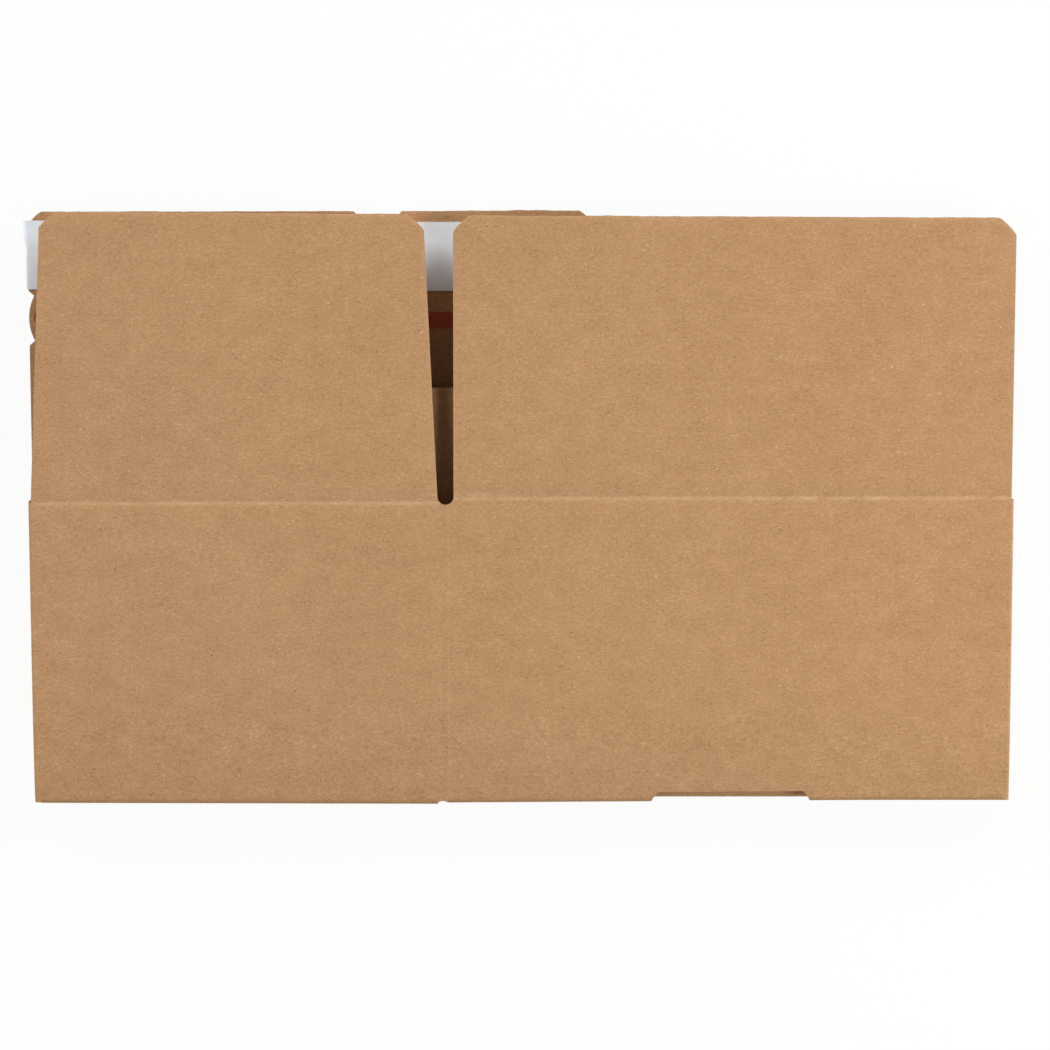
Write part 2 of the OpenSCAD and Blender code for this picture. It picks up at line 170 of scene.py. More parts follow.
class CartonCut(bpy.types.PropertyGroup):
    """Sizes of the cut outlines."""

    bottom_step: length("Bottom step", "How far the narrow panels reach below the wide ones", 0.9)
    raw_inset: length("Raw inset", "Where the raw edges between the bottom folds stop", 0.9)
    bottom_bow: length("Bottom bow", "How far the bottom edge bows out beside the upright crease", 1.0)
    fold_reach: length("Fold reach", "Width of a side fold seen from above", 2.6)
    lean_fold: length("Fold side lean", "Lean of a narrow flap on its fold side", 5.0)
    lean_slot: length("Slot side lean", "Lean of a narrow flap on its slot side", 4.6)
    end_cut_w: length("Narrow corner width", "Width of the cut corners of the narrow flaps", 6.4)
    end_cut_h: length("Narrow corner height", "Height of the cut corners of the narrow flaps", 6.1)
    cut_w: length("Cut corner width", "Width of the cut corners of the wide flaps", 6.3)
    cut_h: length("Cut corner height", "Height of the cut corners of the wide flaps", 6.3)
    back_cut: length("Back corner", "Width and height of the back flap's left cut corner", 5.2)
    tilt: length("Strip tilt", "How far the closing strips and the pull tab rise at the free end", 0.9)
    back_rise: length("Back rise", "How far the narrow back panel's fold stands above the front one's", 0.7)
    tip_slant: length("Tip slant", "How far the front flaps' tips fall off to the right", 1.4)
    skew: length("Flap skew", "How far the wide front flap stands askew at its tip", 0.35)
    dip_x: length("Dip distance", "From the seam side of the back flap to the middle of its dip", 82.6)
    dip_w: length("Dip width", "Width of the dip in the back flap's tip", 15.5)
    dip_d: length("Dip depth", "Depth of the dip in the back flap's tip", 1.4)
    pull_h: length("Pull tab", "Length of the pull tab along the flap's side", 17.1)
    pull_d: length("Nick depth", "Depth of the nicks beside the pull tab", 2.1)
    nick: length("Nick slope", "Length of the slope outside each nick", 1.8)
    notch_w: length("Lock notch width", "Width of the lock notch", 60.8)
    notch_d: length("Lock notch depth", "Depth of the lock notch", 4.0)
    notch_slope: length("Lock notch slope", "Slope of the lock notch's ends", 3.8)
    long_flap: length("Long bottom flap", "Length of the long bottom flap", 158.2)
    short_flap: length("Short bottom flap", "Length of the short bottom flap", 95.0)
    glue_flap: length("Glued bottom flaps", "Length of the two glued bottom flaps", 76.0)
    flap_lean: length("Bottom flap lean", "Lean of the bottom flaps' free sides", 9.0)
    flap_lift: length("Bottom flap lift", "How far the long bottom flap's tip springs up", 2.3)
    flap_clear: length("Bottom flap clearance", "Clear space beside the bottom flaps", 1.9)
    seam_w: length("Seam flap", "Width of the glued seam flap", 18.0)
    seam_jog: length("Seam jog", "Length of the step into the seam flap", 1.2)
    seam_slant: length("Seam slant", "Slant of the seam flap's ends", 7.0)
    ear_h: length("Liner ear", "Height of the ear at the liner's free end", 5.5)
    ear_step: length("Liner ear step", "How far the rest of the free end stands back from the ear", 1.4)
    tape_end: length("Tape end", "How far the tear tape's round end stands back", 1.2)
    hang: length("Liner hang", "How far the liner's free end hangs down past the flap", 1.8)


class CartonLook(bpy.types.PropertyGroup):
    """Colours of the finishes."""

    kraft: colour("Kraft", "Body colour of the board", (0.500, 0.282, 0.136, 1.0))
    kraft_dark: colour("Dark kraft", "Darkest fibres of the board", (0.389, 0.209, 0.092, 1.0))
    kraft_pale: colour("Pale kraft", "Palest fibres of the board", (0.631, 0.374, 0.195, 1.0))
    speck_dark: colour("Dark speck", "Bark specks in the board", (0.17, 0.085, 0.035, 1.0))
    speck_pale: colour("Pale speck", "Pale specks in the board", (0.85, 0.66, 0.43, 1.0))
    rubbed: colour("Rubbed crease", "Facing stretched pale along a crease", (0.72, 0.47, 0.27, 1.0))
    cut_edge: colour("Cut edge", "Fibres of a cut edge", (0.40, 0.235, 0.118, 1.0))
    liner: colour("Liner", "Coated paper of the release liner", (0.89, 0.945, 1.0, 1.0))
    tape: colour("Tear tape", "Red film of the tear tape", (0.46, 0.085, 0.03, 1.0))
    gum: colour("Adhesive", "Hot-melt adhesive under the liner", (0.80, 0.76, 0.62, 1.0))


class CartonStage(bpy.types.PropertyGroup):
    """Camera, lamps and floor."""

    camera_place: spot("Camera place", "Where the camera stands", (0.017305, 0.164152, 1.332233))
    camera_turn: FloatVectorProperty(name="Camera turn", description="Turn of the camera about X, Y and Z",
                                     size=3, default=(-0.12783, 0.01086, -0.00248), precision=5,
                                     subtype="EULER", unit="ROTATION")
    lens: FloatProperty(name="Lens", description="Focal length on a 36 mm sensor", default=120.434, min=1.0)
    right_place: spot("Right place", "Where the right lamp hangs", (0.95, -0.25, 0.80))
    right_power: amount("Right power", "Power of the right lamp in watts", 7.2)
    far_place: spot("Far place", "Where the lamp beyond the top flaps hangs", (1.50, 1.90, 0.90))
    far_power: amount("Far power", "Power of the far lamp in watts", 40.0)
    left_place: spot("Left place", "Where the left lamp hangs", (-1.50, 1.90, 0.90))
    left_power: amount("Left power", "Power of the left lamp in watts", 38.5)
    fill_place: spot("Fill place", "Where the weak fill lamp hangs", (-0.95, -0.30, 0.80))
    fill_power: amount("Fill power", "Power of the fill lamp in watts", 1.9)
    lamp_share: amount("Lamp share", "Side of a square lamp as a share of its distance", 0.35)
    sky_low: amount("Low sky", "Strength of the soft light near the floor", 0.66)
    sky_high: amount("High sky", "Strength of the soft light overhead", 0.0)
    floor_side: FloatProperty(name="Floor side", description="Side of the square floor", default=6.0,
                              subtype="DISTANCE", unit="LENGTH")


def in_mm(group):
    """The lengths of a property group as plain millimetres."""
    return SimpleNamespace(**{name: getattr(group, name) / MM for name in group.__annotations__})


def board():
    """The board's sizes in millimetres.

    Added are the outer radius of a bottom fold, the reach of a half round along a diagonal fold and the
    distance from one layer to the next.
    """
    b = in_mm(bpy.context.scene.carton_board)
    b.nose = b.thickness + b.gap / 2.0
    b.diagonal = b.nose * math.sqrt(2.0)
    b.pitch = b.thickness + b.gap
    return b


def cut():
    """The cut sizes in millimetres.

    Added are the wide panels' lowest line and the lines where the panels pass into the side folds.
    """
    c = in_mm(bpy.context.scene.carton_cut)
    c.wide_low = BODY_LOW[1] + c.bottom_step
    c.left, c.right = LEFT_X + c.fold_reach, RIGHT_X - c.fold_reach
    return c


# Shapes


def smooth_step(t):
    """Rises from 0 to 1 with level ends: 3 t squared less 2 t cubed."""
    t = np.clip(t, 0.0, 1.0)
    return t * t * (3.0 - 2.0 * t)


def cut_corner(near, width, height):
    """How far a tip stands back at a distance from the side: a quarter of a superellipse."""
    inside = np.clip(1.0 - near / width, 0.0, 1.0) ** CORNER_POWER
    return height * (1.0 - (1.0 - inside) ** (1.0 / CORNER_POWER))


def corner_columns(width):
    """Distances from the side that follow a cut corner's curve in even turns."""
    lines = 10
    turn = np.linspace(0.0, math.pi / 2.0, lines)
    return width * (1.0 - np.cos(turn) ** (2.0 / CORNER_POWER))


def columns(breaks, step):
    """Rising positions that hold every break and stand at most a step apart between them."""
    breaks = np.unique(np.round(breaks, 4))
    spans = [np.linspace(a, b, max(int(np.ceil((b - a) / step)), 1), endpoint=False)
             for a, b in zip(breaks[:-1], breaks[1:])]
    return np.concatenate(spans + [breaks[-1:]])


def with_marks(count, marks):
    """Even parameters from 0 to 1 that also hold the marks."""
    return np.unique(np.concatenate([np.linspace(0.0, 1.0, count), marks]).round(6))


def both_sides(marks):
    """Marks from the left side and the same ones from the right."""
    return np.append(marks, 1.0 - marks)


def every_other(rows):
    """Every second row, with the last one kept."""
    return np.append(rows[:-1:2], rows[-1:])


def ripple(x, wave, seed):
    """Uneven ripple between about -1 and 1: a sum of seven sines around one wavelength, phases by seed."""
    count, shortest, longest, top = 7, 0.55, 1.9, 3.2
    draw = np.random.default_rng(seed)
    waves = wave * draw.uniform(shortest, longest, count)
    starts = draw.uniform(0.0, 2.0 * math.pi, count)
    turns = 2.0 * math.pi * np.asarray(x)[..., None] / waves + starts
    return np.sin(turns).sum(-1) / top


def uneven(x, mean, wave, seed):
    """A share that wanders about its mean and tops out near 1: the mean and the rest times a ripple."""
    return mean + (1.0 - mean) * ripple(x, wave, seed)


def rough_cut(along, seed, b):
    """How far the fibres stand back along a cut: the roughness with a fine and a slow ripple on it."""
    fine_wave, slow_wave = 5.0, 31.0
    return b.rough * (1.0 + ripple(along, fine_wave, seed) * 0.5 + ripple(along, slow_wave, seed + 1))


def thick_sheet(outer, inner, cells=None, wear=0.0):
    """Closed sheet of board between two grids of points.

    The cells marked true are drawn on the outer grid and, turned over, on the inner grid. Every side
    that only one such cell has gets a rim face from the outer to the inner grid.
    """
    rows, cols = outer.shape[:2]
    count = rows * cols
    cells = np.ones((rows - 1, cols - 1), bool) if cells is None else cells
    index = np.arange(count).reshape(rows, cols)
    r, c = np.nonzero(cells)
    quads = np.stack([index[r, c], index[r, c + 1], index[r + 1, c + 1], index[r + 1, c]], 1)
    points = np.concatenate([outer.reshape(-1, 3), inner.reshape(-1, 3)])
    first = points[quads[:, 0]]
    facing = np.cross(points[quads[:, 1]] - first, points[quads[:, 3]] - first)
    if np.sum(facing * (first - points[quads[:, 0] + count])) < 0.0:
        quads = quads[:, ::-1]
    sides = quads[:, [0, 1, 1, 2, 2, 3, 3, 0]].reshape(-1, 2)
    lone = ~np.isin(sides[:, 0] * count + sides[:, 1], sides[:, 1] * count + sides[:, 0])
    rim = sides[lone]
    rim = np.stack([rim[:, 1], rim[:, 0], rim[:, 0] + count, rim[:, 1] + count], 1)
    faces = np.concatenate([quads, quads[:, ::-1] + count, rim])
    cut_face = np.repeat([0, 1], [2 * len(quads), len(rim)])
    worn = np.broadcast_to(wear, (rows, cols)).reshape(-1)
    worn = np.concatenate([worn, 0.0 * worn])
    used, faces = np.unique(faces, return_inverse=True)
    return SimpleNamespace(points=points[used], faces=faces.reshape(-1, 4), cut=cut_face, wear=worn[used])


def joined(shells):
    """One shell out of several, their point numbers carried on from one to the next."""
    starts = np.cumsum([0] + [len(s.points) for s in shells[:-1]])
    return SimpleNamespace(points=np.concatenate([s.points for s in shells]),
                           faces=np.concatenate([s.faces + n for s, n in zip(shells, starts)]),
                           cut=np.concatenate([s.cut for s in shells]),
                           wear=np.concatenate([s.wear for s in shells]))


def place(x, y, depth, base, inward):
    """Points at a depth under an outer face that lies at height base and looks against inward."""
    x, y, depth = np.broadcast_arrays(x, y, depth)
    return np.stack([x, y, base + inward * depth], -1)


def make_piece(name, shell, materials):
    """Writes a shell into a new mesh object at the origin, cut edges in the last material."""
    mesh = bpy.data.meshes.new(name)
    mesh.vertices.add(len(shell.points))
    mesh.vertices.foreach_set("co", (shell.points * MM).astype(np.float32).ravel())
    mesh.loops.add(shell.faces.size)
    mesh.loops.foreach_set("vertex_index", shell.faces.astype(np.int32).ravel())
    mesh.polygons.add(len(shell.faces))
    mesh.polygons.foreach_set("loop_start", np.arange(0, shell.faces.size, 4, dtype=np.int32))
    for material in materials:
        mesh.materials.append(material)
    last = len(materials) - 1
    mesh.polygons.foreach_set("material_index", np.minimum(shell.cut, last).astype(np.int32))
    mesh.update(calc_edges=True)
    if mesh.validate():
        raise RuntimeError(f"{name} has faces that Blender had to mend")
    rubbed = mesh.attributes.new("wear", "FLOAT", "POINT")
    rubbed.data.foreach_set("value", shell.wear.astype(np.float32))
    mesh.shade_smooth()
    mesh.set_sharp_from_angle(angle=math.radians(SHARP_ANGLE))
    piece = bpy.data.objects.new(name, mesh)
    bpy.context.scene.collection.objects.link(piece)
    return piece


def flute_wave(run, b):
    """The fluting between -1 and 1 along a run: a cosine over the pitch with flattened tops."""
    return np.tanh(FLAT_TOPS * np.cos(2.0 * math.pi * run / b.flute)) / math.tanh(FLAT_TOPS)


def washboard(x, y, b):
    """Depth of the facing between the flute tips: a cosine over the pitch, uneven along the flutes."""
    slant = 0.35
    hollow = 0.5 - 0.5 * np.cos(2.0 * math.pi * x / b.flute)
    return b.washboard * uneven(x + slant * y, mean=0.75, wave=47.0, seed=3) * hollow


def crease_dent(d, b):
    """Depth of a crease in the outer face at distance d from it, the flap on the positive side.

    A valley with a short slope on the flap and a longer one on the panel, rounded at the line.
    """
    on_flap, on_panel, rounding = 2.2, 3.2, 0.4
    reach = np.where(d > 0.0, on_flap, on_panel)
    return b.dent * np.exp((rounding - np.sqrt(d ** 2 + rounding ** 2)) / reach)


def crease_groove(d, b):
    """Depth of a crease in the inner face: a bell about three millimetres wide."""
    half_width = 1.5
    return b.groove * np.exp(-(d / half_width) ** 2)


def crease_wear(d, x, inward):
    """How pale a crease is rubbed: a bell just below the line, broken up along it.

    Right of the slot the front facing is crushed to a wider pale band that fades out along the crease.
    """
    line_at, line_half = -0.55, 0.75
    band_at, band_half, band_length, band_share = 0.3, 1.5, 34.0, 0.75
    worn = np.exp(-((d - line_at) / line_half) ** 2)
    if inward < 0:
        past_slot = np.where(x > SLOT_X, x - SLOT_X, np.inf)
        band = np.exp(-((d - band_at) / band_half) ** 4 - (past_slot / band_length) ** 2)
        worn = np.maximum(worn, band_share * band)
    return worn * uneven(x, mean=0.72, wave=21.0, seed=11)


def sink(points, b):
    """Presses the stack down towards the bottom folds and along the side folds.

    The drop grows with the square of the distance below the sag's start and falls off exponentially
    from the side folds, and every layer takes its share by height.
    """
    side_reach, below_crease, fade = 4.5, 8.0, 25.0
    x, y, z = points.T
    low = BODY_LOW[1] + b.sag_reach - y
    drop = b.sag * (np.clip(low, 0.0, None) / b.sag_reach) ** 2
    edge = np.exp(-np.clip(HALF_W - np.abs(x - MID_X), 0.0, None) / side_reach)
    drop = drop + b.droop * edge * smooth_step((NARROW_Y - below_crease - y) / fade)
    return np.stack([x, y, z - drop * z / STACK], -1)


def bent_panels(x, y_top, y_low, y_cut, tip, crease_y, lift, base, inward, b):
    """Panels that bend round into their bottom flaps, on one grid of columns by rows.

    Each column runs straight down the panel, round a squarish half circle of radius nose and back up the
    flap. y_low is the lowest point of the half circle or not a number where a raw edge stands instead,
    y_cut the height of a cut through it, and tip the end of the flap. On the front the upright crease
    adds a shallow dent with a pale line on either side.
    """
    quarter, slack, least_turn, least_flap = math.pi / 2.0 - 0.02, 0.01, 0.05, 0.2
    has_nose = ~np.isnan(y_low)
    y_nose = np.where(has_nose, np.nan_to_num(y_low) + b.nose, y_cut)
    square = 2.0 / NOSE_POWER
    end = np.arcsin(np.clip((y_nose - y_cut) / b.nose, 0.0, 1.0) ** (1.0 / square))
    end = np.where(has_nose, np.minimum(end, quarter), 0.0)
    bent = end > least_turn
    start = np.maximum(y_nose, y_cut)
    # Rows down the panel, close together below the crease, then round both quarters and up the flap
    close = 12.0
    span = np.median(y_top - start)
    down = np.append(close * np.linspace(0.0, 1.0, 15) ** 1.7, np.linspace(close, span, 24)[1:]) / span
    arc = np.linspace(0.0, 1.0, 8)[:, None]
    up = np.linspace(0.0, 1.0, 9)[1:]
    y_wall = y_top + (start - y_top) * down[:, None]
    y_flap = start + (np.where(np.isnan(tip), start, tip) - start) * up[:, None]
    turn = np.concatenate([0.0 * y_wall, end * arc[1:], math.pi - end * (1.0 - arc), 0.0 * y_flap + math.pi])
    sine, cosine = np.clip(np.sin(turn), 0.0, None), np.cos(turn)
    bow = np.where(bent, y_nose - b.nose * sine ** square, start)
    y = np.concatenate([y_wall, bow[len(down):-len(up)], y_flap])
    depth = b.nose * (1.0 - np.sign(cosine) * np.abs(cosine) ** square)
    core = b.nose - b.thickness
    y_core = np.where(sine > 1e-6, y_nose - core * sine, y)
    x_grid = np.broadcast_to(x, y.shape)
    flat = turn == 0.0
    d = y - crease_y
    relief = washboard(x_grid, y, b) + crease_dent(d, b)
    wear = crease_wear(d, x_grid, inward)
    if inward < 0:
        dent, dent_half, line_share, line_half = 0.12, 1.3, 0.25, 0.5
        beside = np.abs(x_grid - UPRIGHT_X)
        relief = relief + dent * np.exp(-(beside / dent_half) ** 2)
        wear = wear + line_share * np.exp(-((beside - b.thickness) / line_half) ** 2)
    bend_share = 0.3
    wear = np.where(flat, wear, bend_share * np.sin(turn) ** 4)
    groove = np.where(flat, crease_groove(d, b), 0.0)
    outer = place(x_grid, y, depth + np.where(flat, relief, 0.0) + lift, base, inward)
    inner = place(x_grid, y_core, b.nose - core * cosine - groove + lift, base, inward)

    def pair(mark):
        return mark[:-1] & mark[1:]

    whole = pair(bent & (end > quarter - slack))
    flap = pair(~np.isnan(tip) & (np.nan_to_num(tip) > start + least_flap) & has_nose)
    wall_cells = np.ones((len(down) - 1, len(x) - 1), bool)
    arc_cells = np.tile(pair(bent), (len(arc) - 1, 1))
    cells = np.concatenate([wall_cells, arc_cells, whole[None], arc_cells, np.tile(flap, (len(up), 1))])
    return thick_sheet(outer, inner, cells, wear)


def front_panels(b, c):
    """Both front panels with the short bottom flap and the left glued flap.

    The bottom edge bows out beside the upright crease and runs back to level over the wide panel, and
    the raw edge at the crease is a half ellipse between the two bottom folds. The lock notch is a level
    cut through the wide bottom fold, whose ends fall off with a power of the distance.
    """
    notch_lines, slot_lines, slack = 11, 25, 0.001
    bow_at_fold, bow_at_crease, level_past_notch = 0.2, 0.6, 20.0
    narrow_end, wide_start = UPRIGHT_X - c.flap_clear, UPRIGHT_X + c.flap_clear
    notch_x = (FRONT_WIDE[0][0] + FRONT_WIDE[1][0]) / 2.0
    half, foot = c.notch_w / 2.0, c.notch_w / 2.0 - c.notch_slope
    glue_x = c.left + b.diagonal + c.glue_flap
    x = np.unique(np.concatenate([
        columns([c.left, glue_x, narrow_end - c.flap_lean, narrow_end], STEP),
        columns([narrow_end, narrow_end + HAIR, wide_start - HAIR, wide_start], RAW_STEP),
        columns([wide_start, wide_start + c.flap_lean, notch_x - half, notch_x - foot, notch_x + foot,
                 notch_x + half, c.right - c.flap_lean, c.right], STEP),
        np.linspace(notch_x - half, notch_x - foot, notch_lines),
        np.linspace(notch_x + foot, notch_x + half, notch_lines),
        SLOT_X + SLOT_R * np.cos(np.linspace(0.0, math.pi, slot_lines)), [UPRIGHT_X]]).round(4))
    wide = x > narrow_end + HAIR / 2.0
    raw = wide & (x < wide_start - HAIR / 2.0)
    crease_y = np.where(x < SLOT_X, NARROW_Y, WIDE_Y)
    off = np.clip(SLOT_R ** 2 - (x - SLOT_X) ** 2, 0.0, None)
    y_top = np.minimum(crease_y - b.strip, np.where(off > 0.0, WIDE_Y - np.sqrt(off), np.inf))
    wide_bow = np.interp(x, [wide_start, notch_x + half + level_past_notch], [1.0, 0.0])
    narrow_bow = np.interp(x, [c.left, narrow_end], [bow_at_fold, bow_at_crease])
    low = np.where(wide, c.wide_low, c.wide_low - c.bottom_step)
    low = low - np.where(wide, wide_bow, narrow_bow) * c.bottom_bow
    y_low = np.where(raw, np.nan, low)
    hump = np.sqrt(np.clip(1.0 - ((x - UPRIGHT_X) / c.flap_clear) ** 2, 0.0, None))
    y_cut = np.where(raw, c.wide_low - c.bottom_bow + c.raw_inset * hump, NO_CUT)
    beside = np.abs(x - notch_x)
    rise = 1.0 - np.clip((beside - foot) / c.notch_slope, 0.0, 1.0) ** NOTCH_POWER
    y_cut = np.where(beside <= half + slack, low + c.notch_d * rise, y_cut)
    short = np.interp(x, [wide_start, wide_start + c.flap_lean, c.right - c.flap_lean, c.right],
                      [b.nose, c.short_flap, c.short_flap, b.nose])
    start_x = c.left + b.diagonal + b.nose - c.bottom_step
    glued = np.interp(x, [start_x, glue_x, narrow_end - c.flap_lean, narrow_end],
                      [b.nose, c.glue_flap, c.glue_flap, b.nose])
    tip = low + np.where(wide, short, np.where(x < start_x, np.nan, glued))
    tip = np.where(raw, np.nan, tip)
    return bent_panels(x, y_top, y_low, y_cut, tip, crease_y, 0.0, *FRONT_FACE, b)


def back_wide_panel(b, c):
    """Wide back panel with the root of the long bottom flap, stepping inward into the seam flap."""
    jog_lines, seam_drop = 5, 6.0
    flap_end, jog_end = SEAM_X - c.flap_clear, SEAM_X + c.seam_jog
    x = columns([c.left, flap_end, flap_end + HAIR, SEAM_X, jog_end, jog_end + c.seam_w], STEP)
    x = np.unique(np.append(x, np.linspace(SEAM_X, jog_end, jog_lines)).round(4))
    seam = np.clip((x - SEAM_X) / c.seam_jog, 0.0, 1.0)
    slant = c.seam_slant * np.clip((x - jog_end) / c.seam_w, 0.0, None)
    y_top = np.where(seam > 0.0, NARROW_Y - seam_drop - slant, WIDE_Y - b.strip)
    y_low = np.where(x <= flap_end + HAIR / 2.0, c.wide_low, np.nan)
    y_cut = np.where(np.isnan(y_low), c.wide_low + c.raw_inset, NO_CUT)
    y_cut = np.where(seam > 0.0, c.wide_low + b.nose + slant, y_cut)
    crease_y = np.where(seam > 0.0, WIDE_Y + FAR_OFF, WIDE_Y)
    return bent_panels(x, y_top, y_low, y_cut, y_low + FLAP_ROOT, crease_y, seam * b.pitch, *BACK_FACE, b)


def back_narrow_panel(b, c):
    """Narrow back panel with the right glued flap."""
    low = BODY_LOW[1] + c.back_rise
    start = SEAM_X + c.seam_jog
    flap_start = start + c.seam_w + c.flap_clear
    glue_x = c.right - b.diagonal - c.glue_flap
    stop_x = c.right - b.diagonal - b.nose + c.bottom_step
    x = columns([start, flap_start - HAIR, flap_start, flap_start + c.flap_lean, glue_x, stop_x, c.right],
                STEP)
    y_low = np.where(x >= flap_start - HAIR / 2.0, low, np.nan)
    y_cut = np.where(np.isnan(y_low), c.wide_low + c.raw_inset, NO_CUT)
    root = b.nose + low - c.wide_low
    tip = c.wide_low + np.interp(x, [flap_start, flap_start + c.flap_lean, glue_x, stop_x],
                                 [root, c.glue_flap, c.glue_flap, root])
    tip = np.where(np.isnan(y_low) | (x > stop_x), np.nan, tip)
    crease_y = np.full_like(x, NARROW_Y)
    return bent_panels(x, crease_y - b.strip, y_low, y_cut, tip, crease_y, 0.0, *BACK_FACE, b)


def fold_section(at, inset, b, c):
    """Point of a side fold's section: a U with two round corners, drawn at an inset from its outside.

    The whole part of at picks one of five stretches, straight, corner, side, corner and straight, and
    the rest of it runs along that stretch.
    """
    tightest = 0.2
    stretch = np.minimum(np.floor(at), 4.0)
    f = at - stretch
    r = np.maximum(b.corner - inset, tightest)
    far = c.fold_reach - inset
    turn = f * math.pi / 2.0
    which = [stretch == k for k in range(4)]
    x = np.select(which, [f * (far - r), far - r + r * np.sin(turn), far, far - r + r * np.cos(turn)],
                  (1.0 - f) * (far - r))
    high, low = STACK - inset, inset
    z = np.select(which, [high + 0.0 * f, high - r + r * np.cos(turn), high - r - f * (high - low - 2.0 * r),
                          low + r - r * np.sin(turn)], low + 0.0 * f)
    return x, z


def side_fold(side, tops, lows, creases, b, c):
    """Folded edge of the carton: two facings and the fluted sheet between them round a U section.

    Its upper and lower ends run from their front heights to their back heights round the section, and
    the outer face takes over the panels' washboard and crease dent and lets them fade into the bends.
    """
    rub_share, rub_half = 0.08, 0.4
    row_count, row_power, stretch_lines, wave_lines = 26, 1.4, (2, 8, 6, 8, 2), 91
    rows = (1.0 - np.linspace(1.0, 0.0, row_count) ** row_power)[:, None]
    edge_x = LEFT_X if side < 0 else RIGHT_X

    def skin(at, near, far, relief):
        round_to_back = smooth_step((at - 1.0) / 3.0)
        top = tops[0] + (tops[1] - tops[0]) * round_to_back
        low = lows[0] + (lows[1] - lows[0]) * round_to_back
        y = low + (top - low) * rows
        front, back = np.clip(1.0 - at, 0.0, 1.0), np.clip(at - 4.0, 0.0, 1.0)
        sheets = []
        for inset in (near, far):
            x, z = fold_section(at, inset, b, c)
            x = np.broadcast_to(edge_x + side * (x - c.fold_reach), y.shape)
            z = np.broadcast_to(z, y.shape)
            if relief:
                flat = washboard(x, y, b)
                z = z - front * (flat + crease_dent(y - creases[0], b))
                z = z + back * (flat + crease_dent(y - creases[1], b))
            sheets.append(np.stack([x, y, z], -1))
        rub = rub_share * sum(np.exp(-((at - bend) / rub_half) ** 2) for bend in (1.5, 3.5))
        rub = rub + front * crease_wear(y - creases[0], sheets[0][..., 0], -1.0)
        return thick_sheet(*sheets, wear=rub)

    at = np.concatenate([k + np.arange(n) / n for k, n in enumerate(stretch_lines)] + [[5.0]])
    fine = np.linspace(0.0, 5.0, wave_lines)
    bend = max(b.corner - b.thickness / 2.0, b.facing) * math.pi / 2.0
    straight = c.fold_reach - b.corner
    run = np.interp(fine, range(6), np.cumsum([0.0, straight, bend, STACK - 2.0 * b.corner, bend, straight]))
    half = b.medium / 2.0
    middle = b.thickness / 2.0
    middle = middle + (middle - b.facing - half) * flute_wave(run - run[-1] / 2.0, b)
    return [skin(at, 0.0, b.facing, True), skin(at, b.thickness, b.thickness - b.facing, False),
            skin(fine, middle - half, middle + half, False)]


def glue_corner(side, level, patch_top, b, c):
    """Corner of a glued bottom flap turned back along its diagonal: a half round and a flat triangle.

    The triangle's narrow end is a little blunt. Under it lies a patch of cold glue, whose corners are
    shares of the flap's length.
    """
    blunt_w, blunt_h = 0.8, 0.05
    patch_along, patch_up = [[0.56, 0.90], [0.56, 0.90]], [[0.27, 0.27], [0.45, 0.78]]
    edge = c.left if side > 0 else c.right
    root = b.nose - c.bottom_step
    start, tip = b.diagonal + root, b.diagonal + c.glue_flap
    corner_z = 2.0 * b.pitch

    def put(along, y, z):
        along, y, z = np.broadcast_arrays(along, y, z)
        return np.stack([edge + side * along, c.wide_low + y, z], -1)

    corners = np.array([[[start, root], [start + blunt_w, root + blunt_h]],
                        [[tip, c.glue_flap], [tip, root + c.flap_lean]]])
    flat = [put(corners[..., 0], corners[..., 1], corner_z + h) for h in (b.thickness, 0.0)]
    middle = (level + corner_z + b.thickness) / 2.0
    turn = np.linspace(-math.pi / 2.0, math.pi / 2.0, 11)[:, None]
    run = np.array([0.0, c.glue_flap - root])
    slope = math.sqrt(0.5)
    rounds = [put(start + run - slope * r * np.cos(turn), root + run + slope * r * np.cos(turn),
                  middle + r * np.sin(turn)) for r in (b.nose, b.nose - b.thickness)]
    along, up = b.diagonal + c.glue_flap * np.array(patch_along), c.glue_flap * np.array(patch_up)
    patch = [put(along, up, patch_top + h) for h in (b.gap, 0.0)]
    return [thick_sheet(*flat), thick_sheet(*rounds), thick_sheet(*patch)]


def fluted_board(shape, base, inward, b, face_u, face_v, wave_u, wave_v, crease_y=None):
    """Corrugated board: two facings and the wavy sheet that touches both.

    shape gives x, y and the distance to the nearest cut edge for two parameters. The outer face has the
    washboard and the crease's dent, the inner face its groove, and the wave is a cosine with flattened
    tops over the pitch, as high as the space between the facings.
    """
    press_reach, rub_reach, rub_share, inner_share, least_room = 0.7, 0.5, 0.25, 0.4, 0.02

    def faces(u, v):
        x, y, edge = shape(u[None, :], v[:, None])
        d = np.full_like(y, FAR_OFF) if crease_y is None else y - crease_y
        press = b.pinch * np.exp(-edge / press_reach)
        out = washboard(x, y, b) + crease_dent(d, b) + press
        inn = b.thickness - crease_groove(d, b) - press - inner_share * washboard(x + b.flute / 2.0, y, b)
        return x, y, d, edge, out, inn

    def sheet(near, far, wear=0.0):
        return thick_sheet(place(x, y, near, base, inward), place(x, y, far, base, inward), wear=wear)

    x, y, d, edge, out, inn = faces(face_u, face_v)
    wear = crease_wear(d, x, inward) + rub_share * np.exp(-edge / rub_reach)
    facings = [sheet(out, out + b.facing, wear), sheet(inn, inn - b.facing)]
    x, y, d, edge, out, inn = faces(wave_u, wave_v)
    room = np.maximum(inn - out - 2.0 * b.facing - b.medium, least_room)
    middle = (inn + out + room * flute_wave(x, b)) / 2.0
    half = b.medium / 2.0
    return joined(facings + [sheet(middle - half, middle + half)])


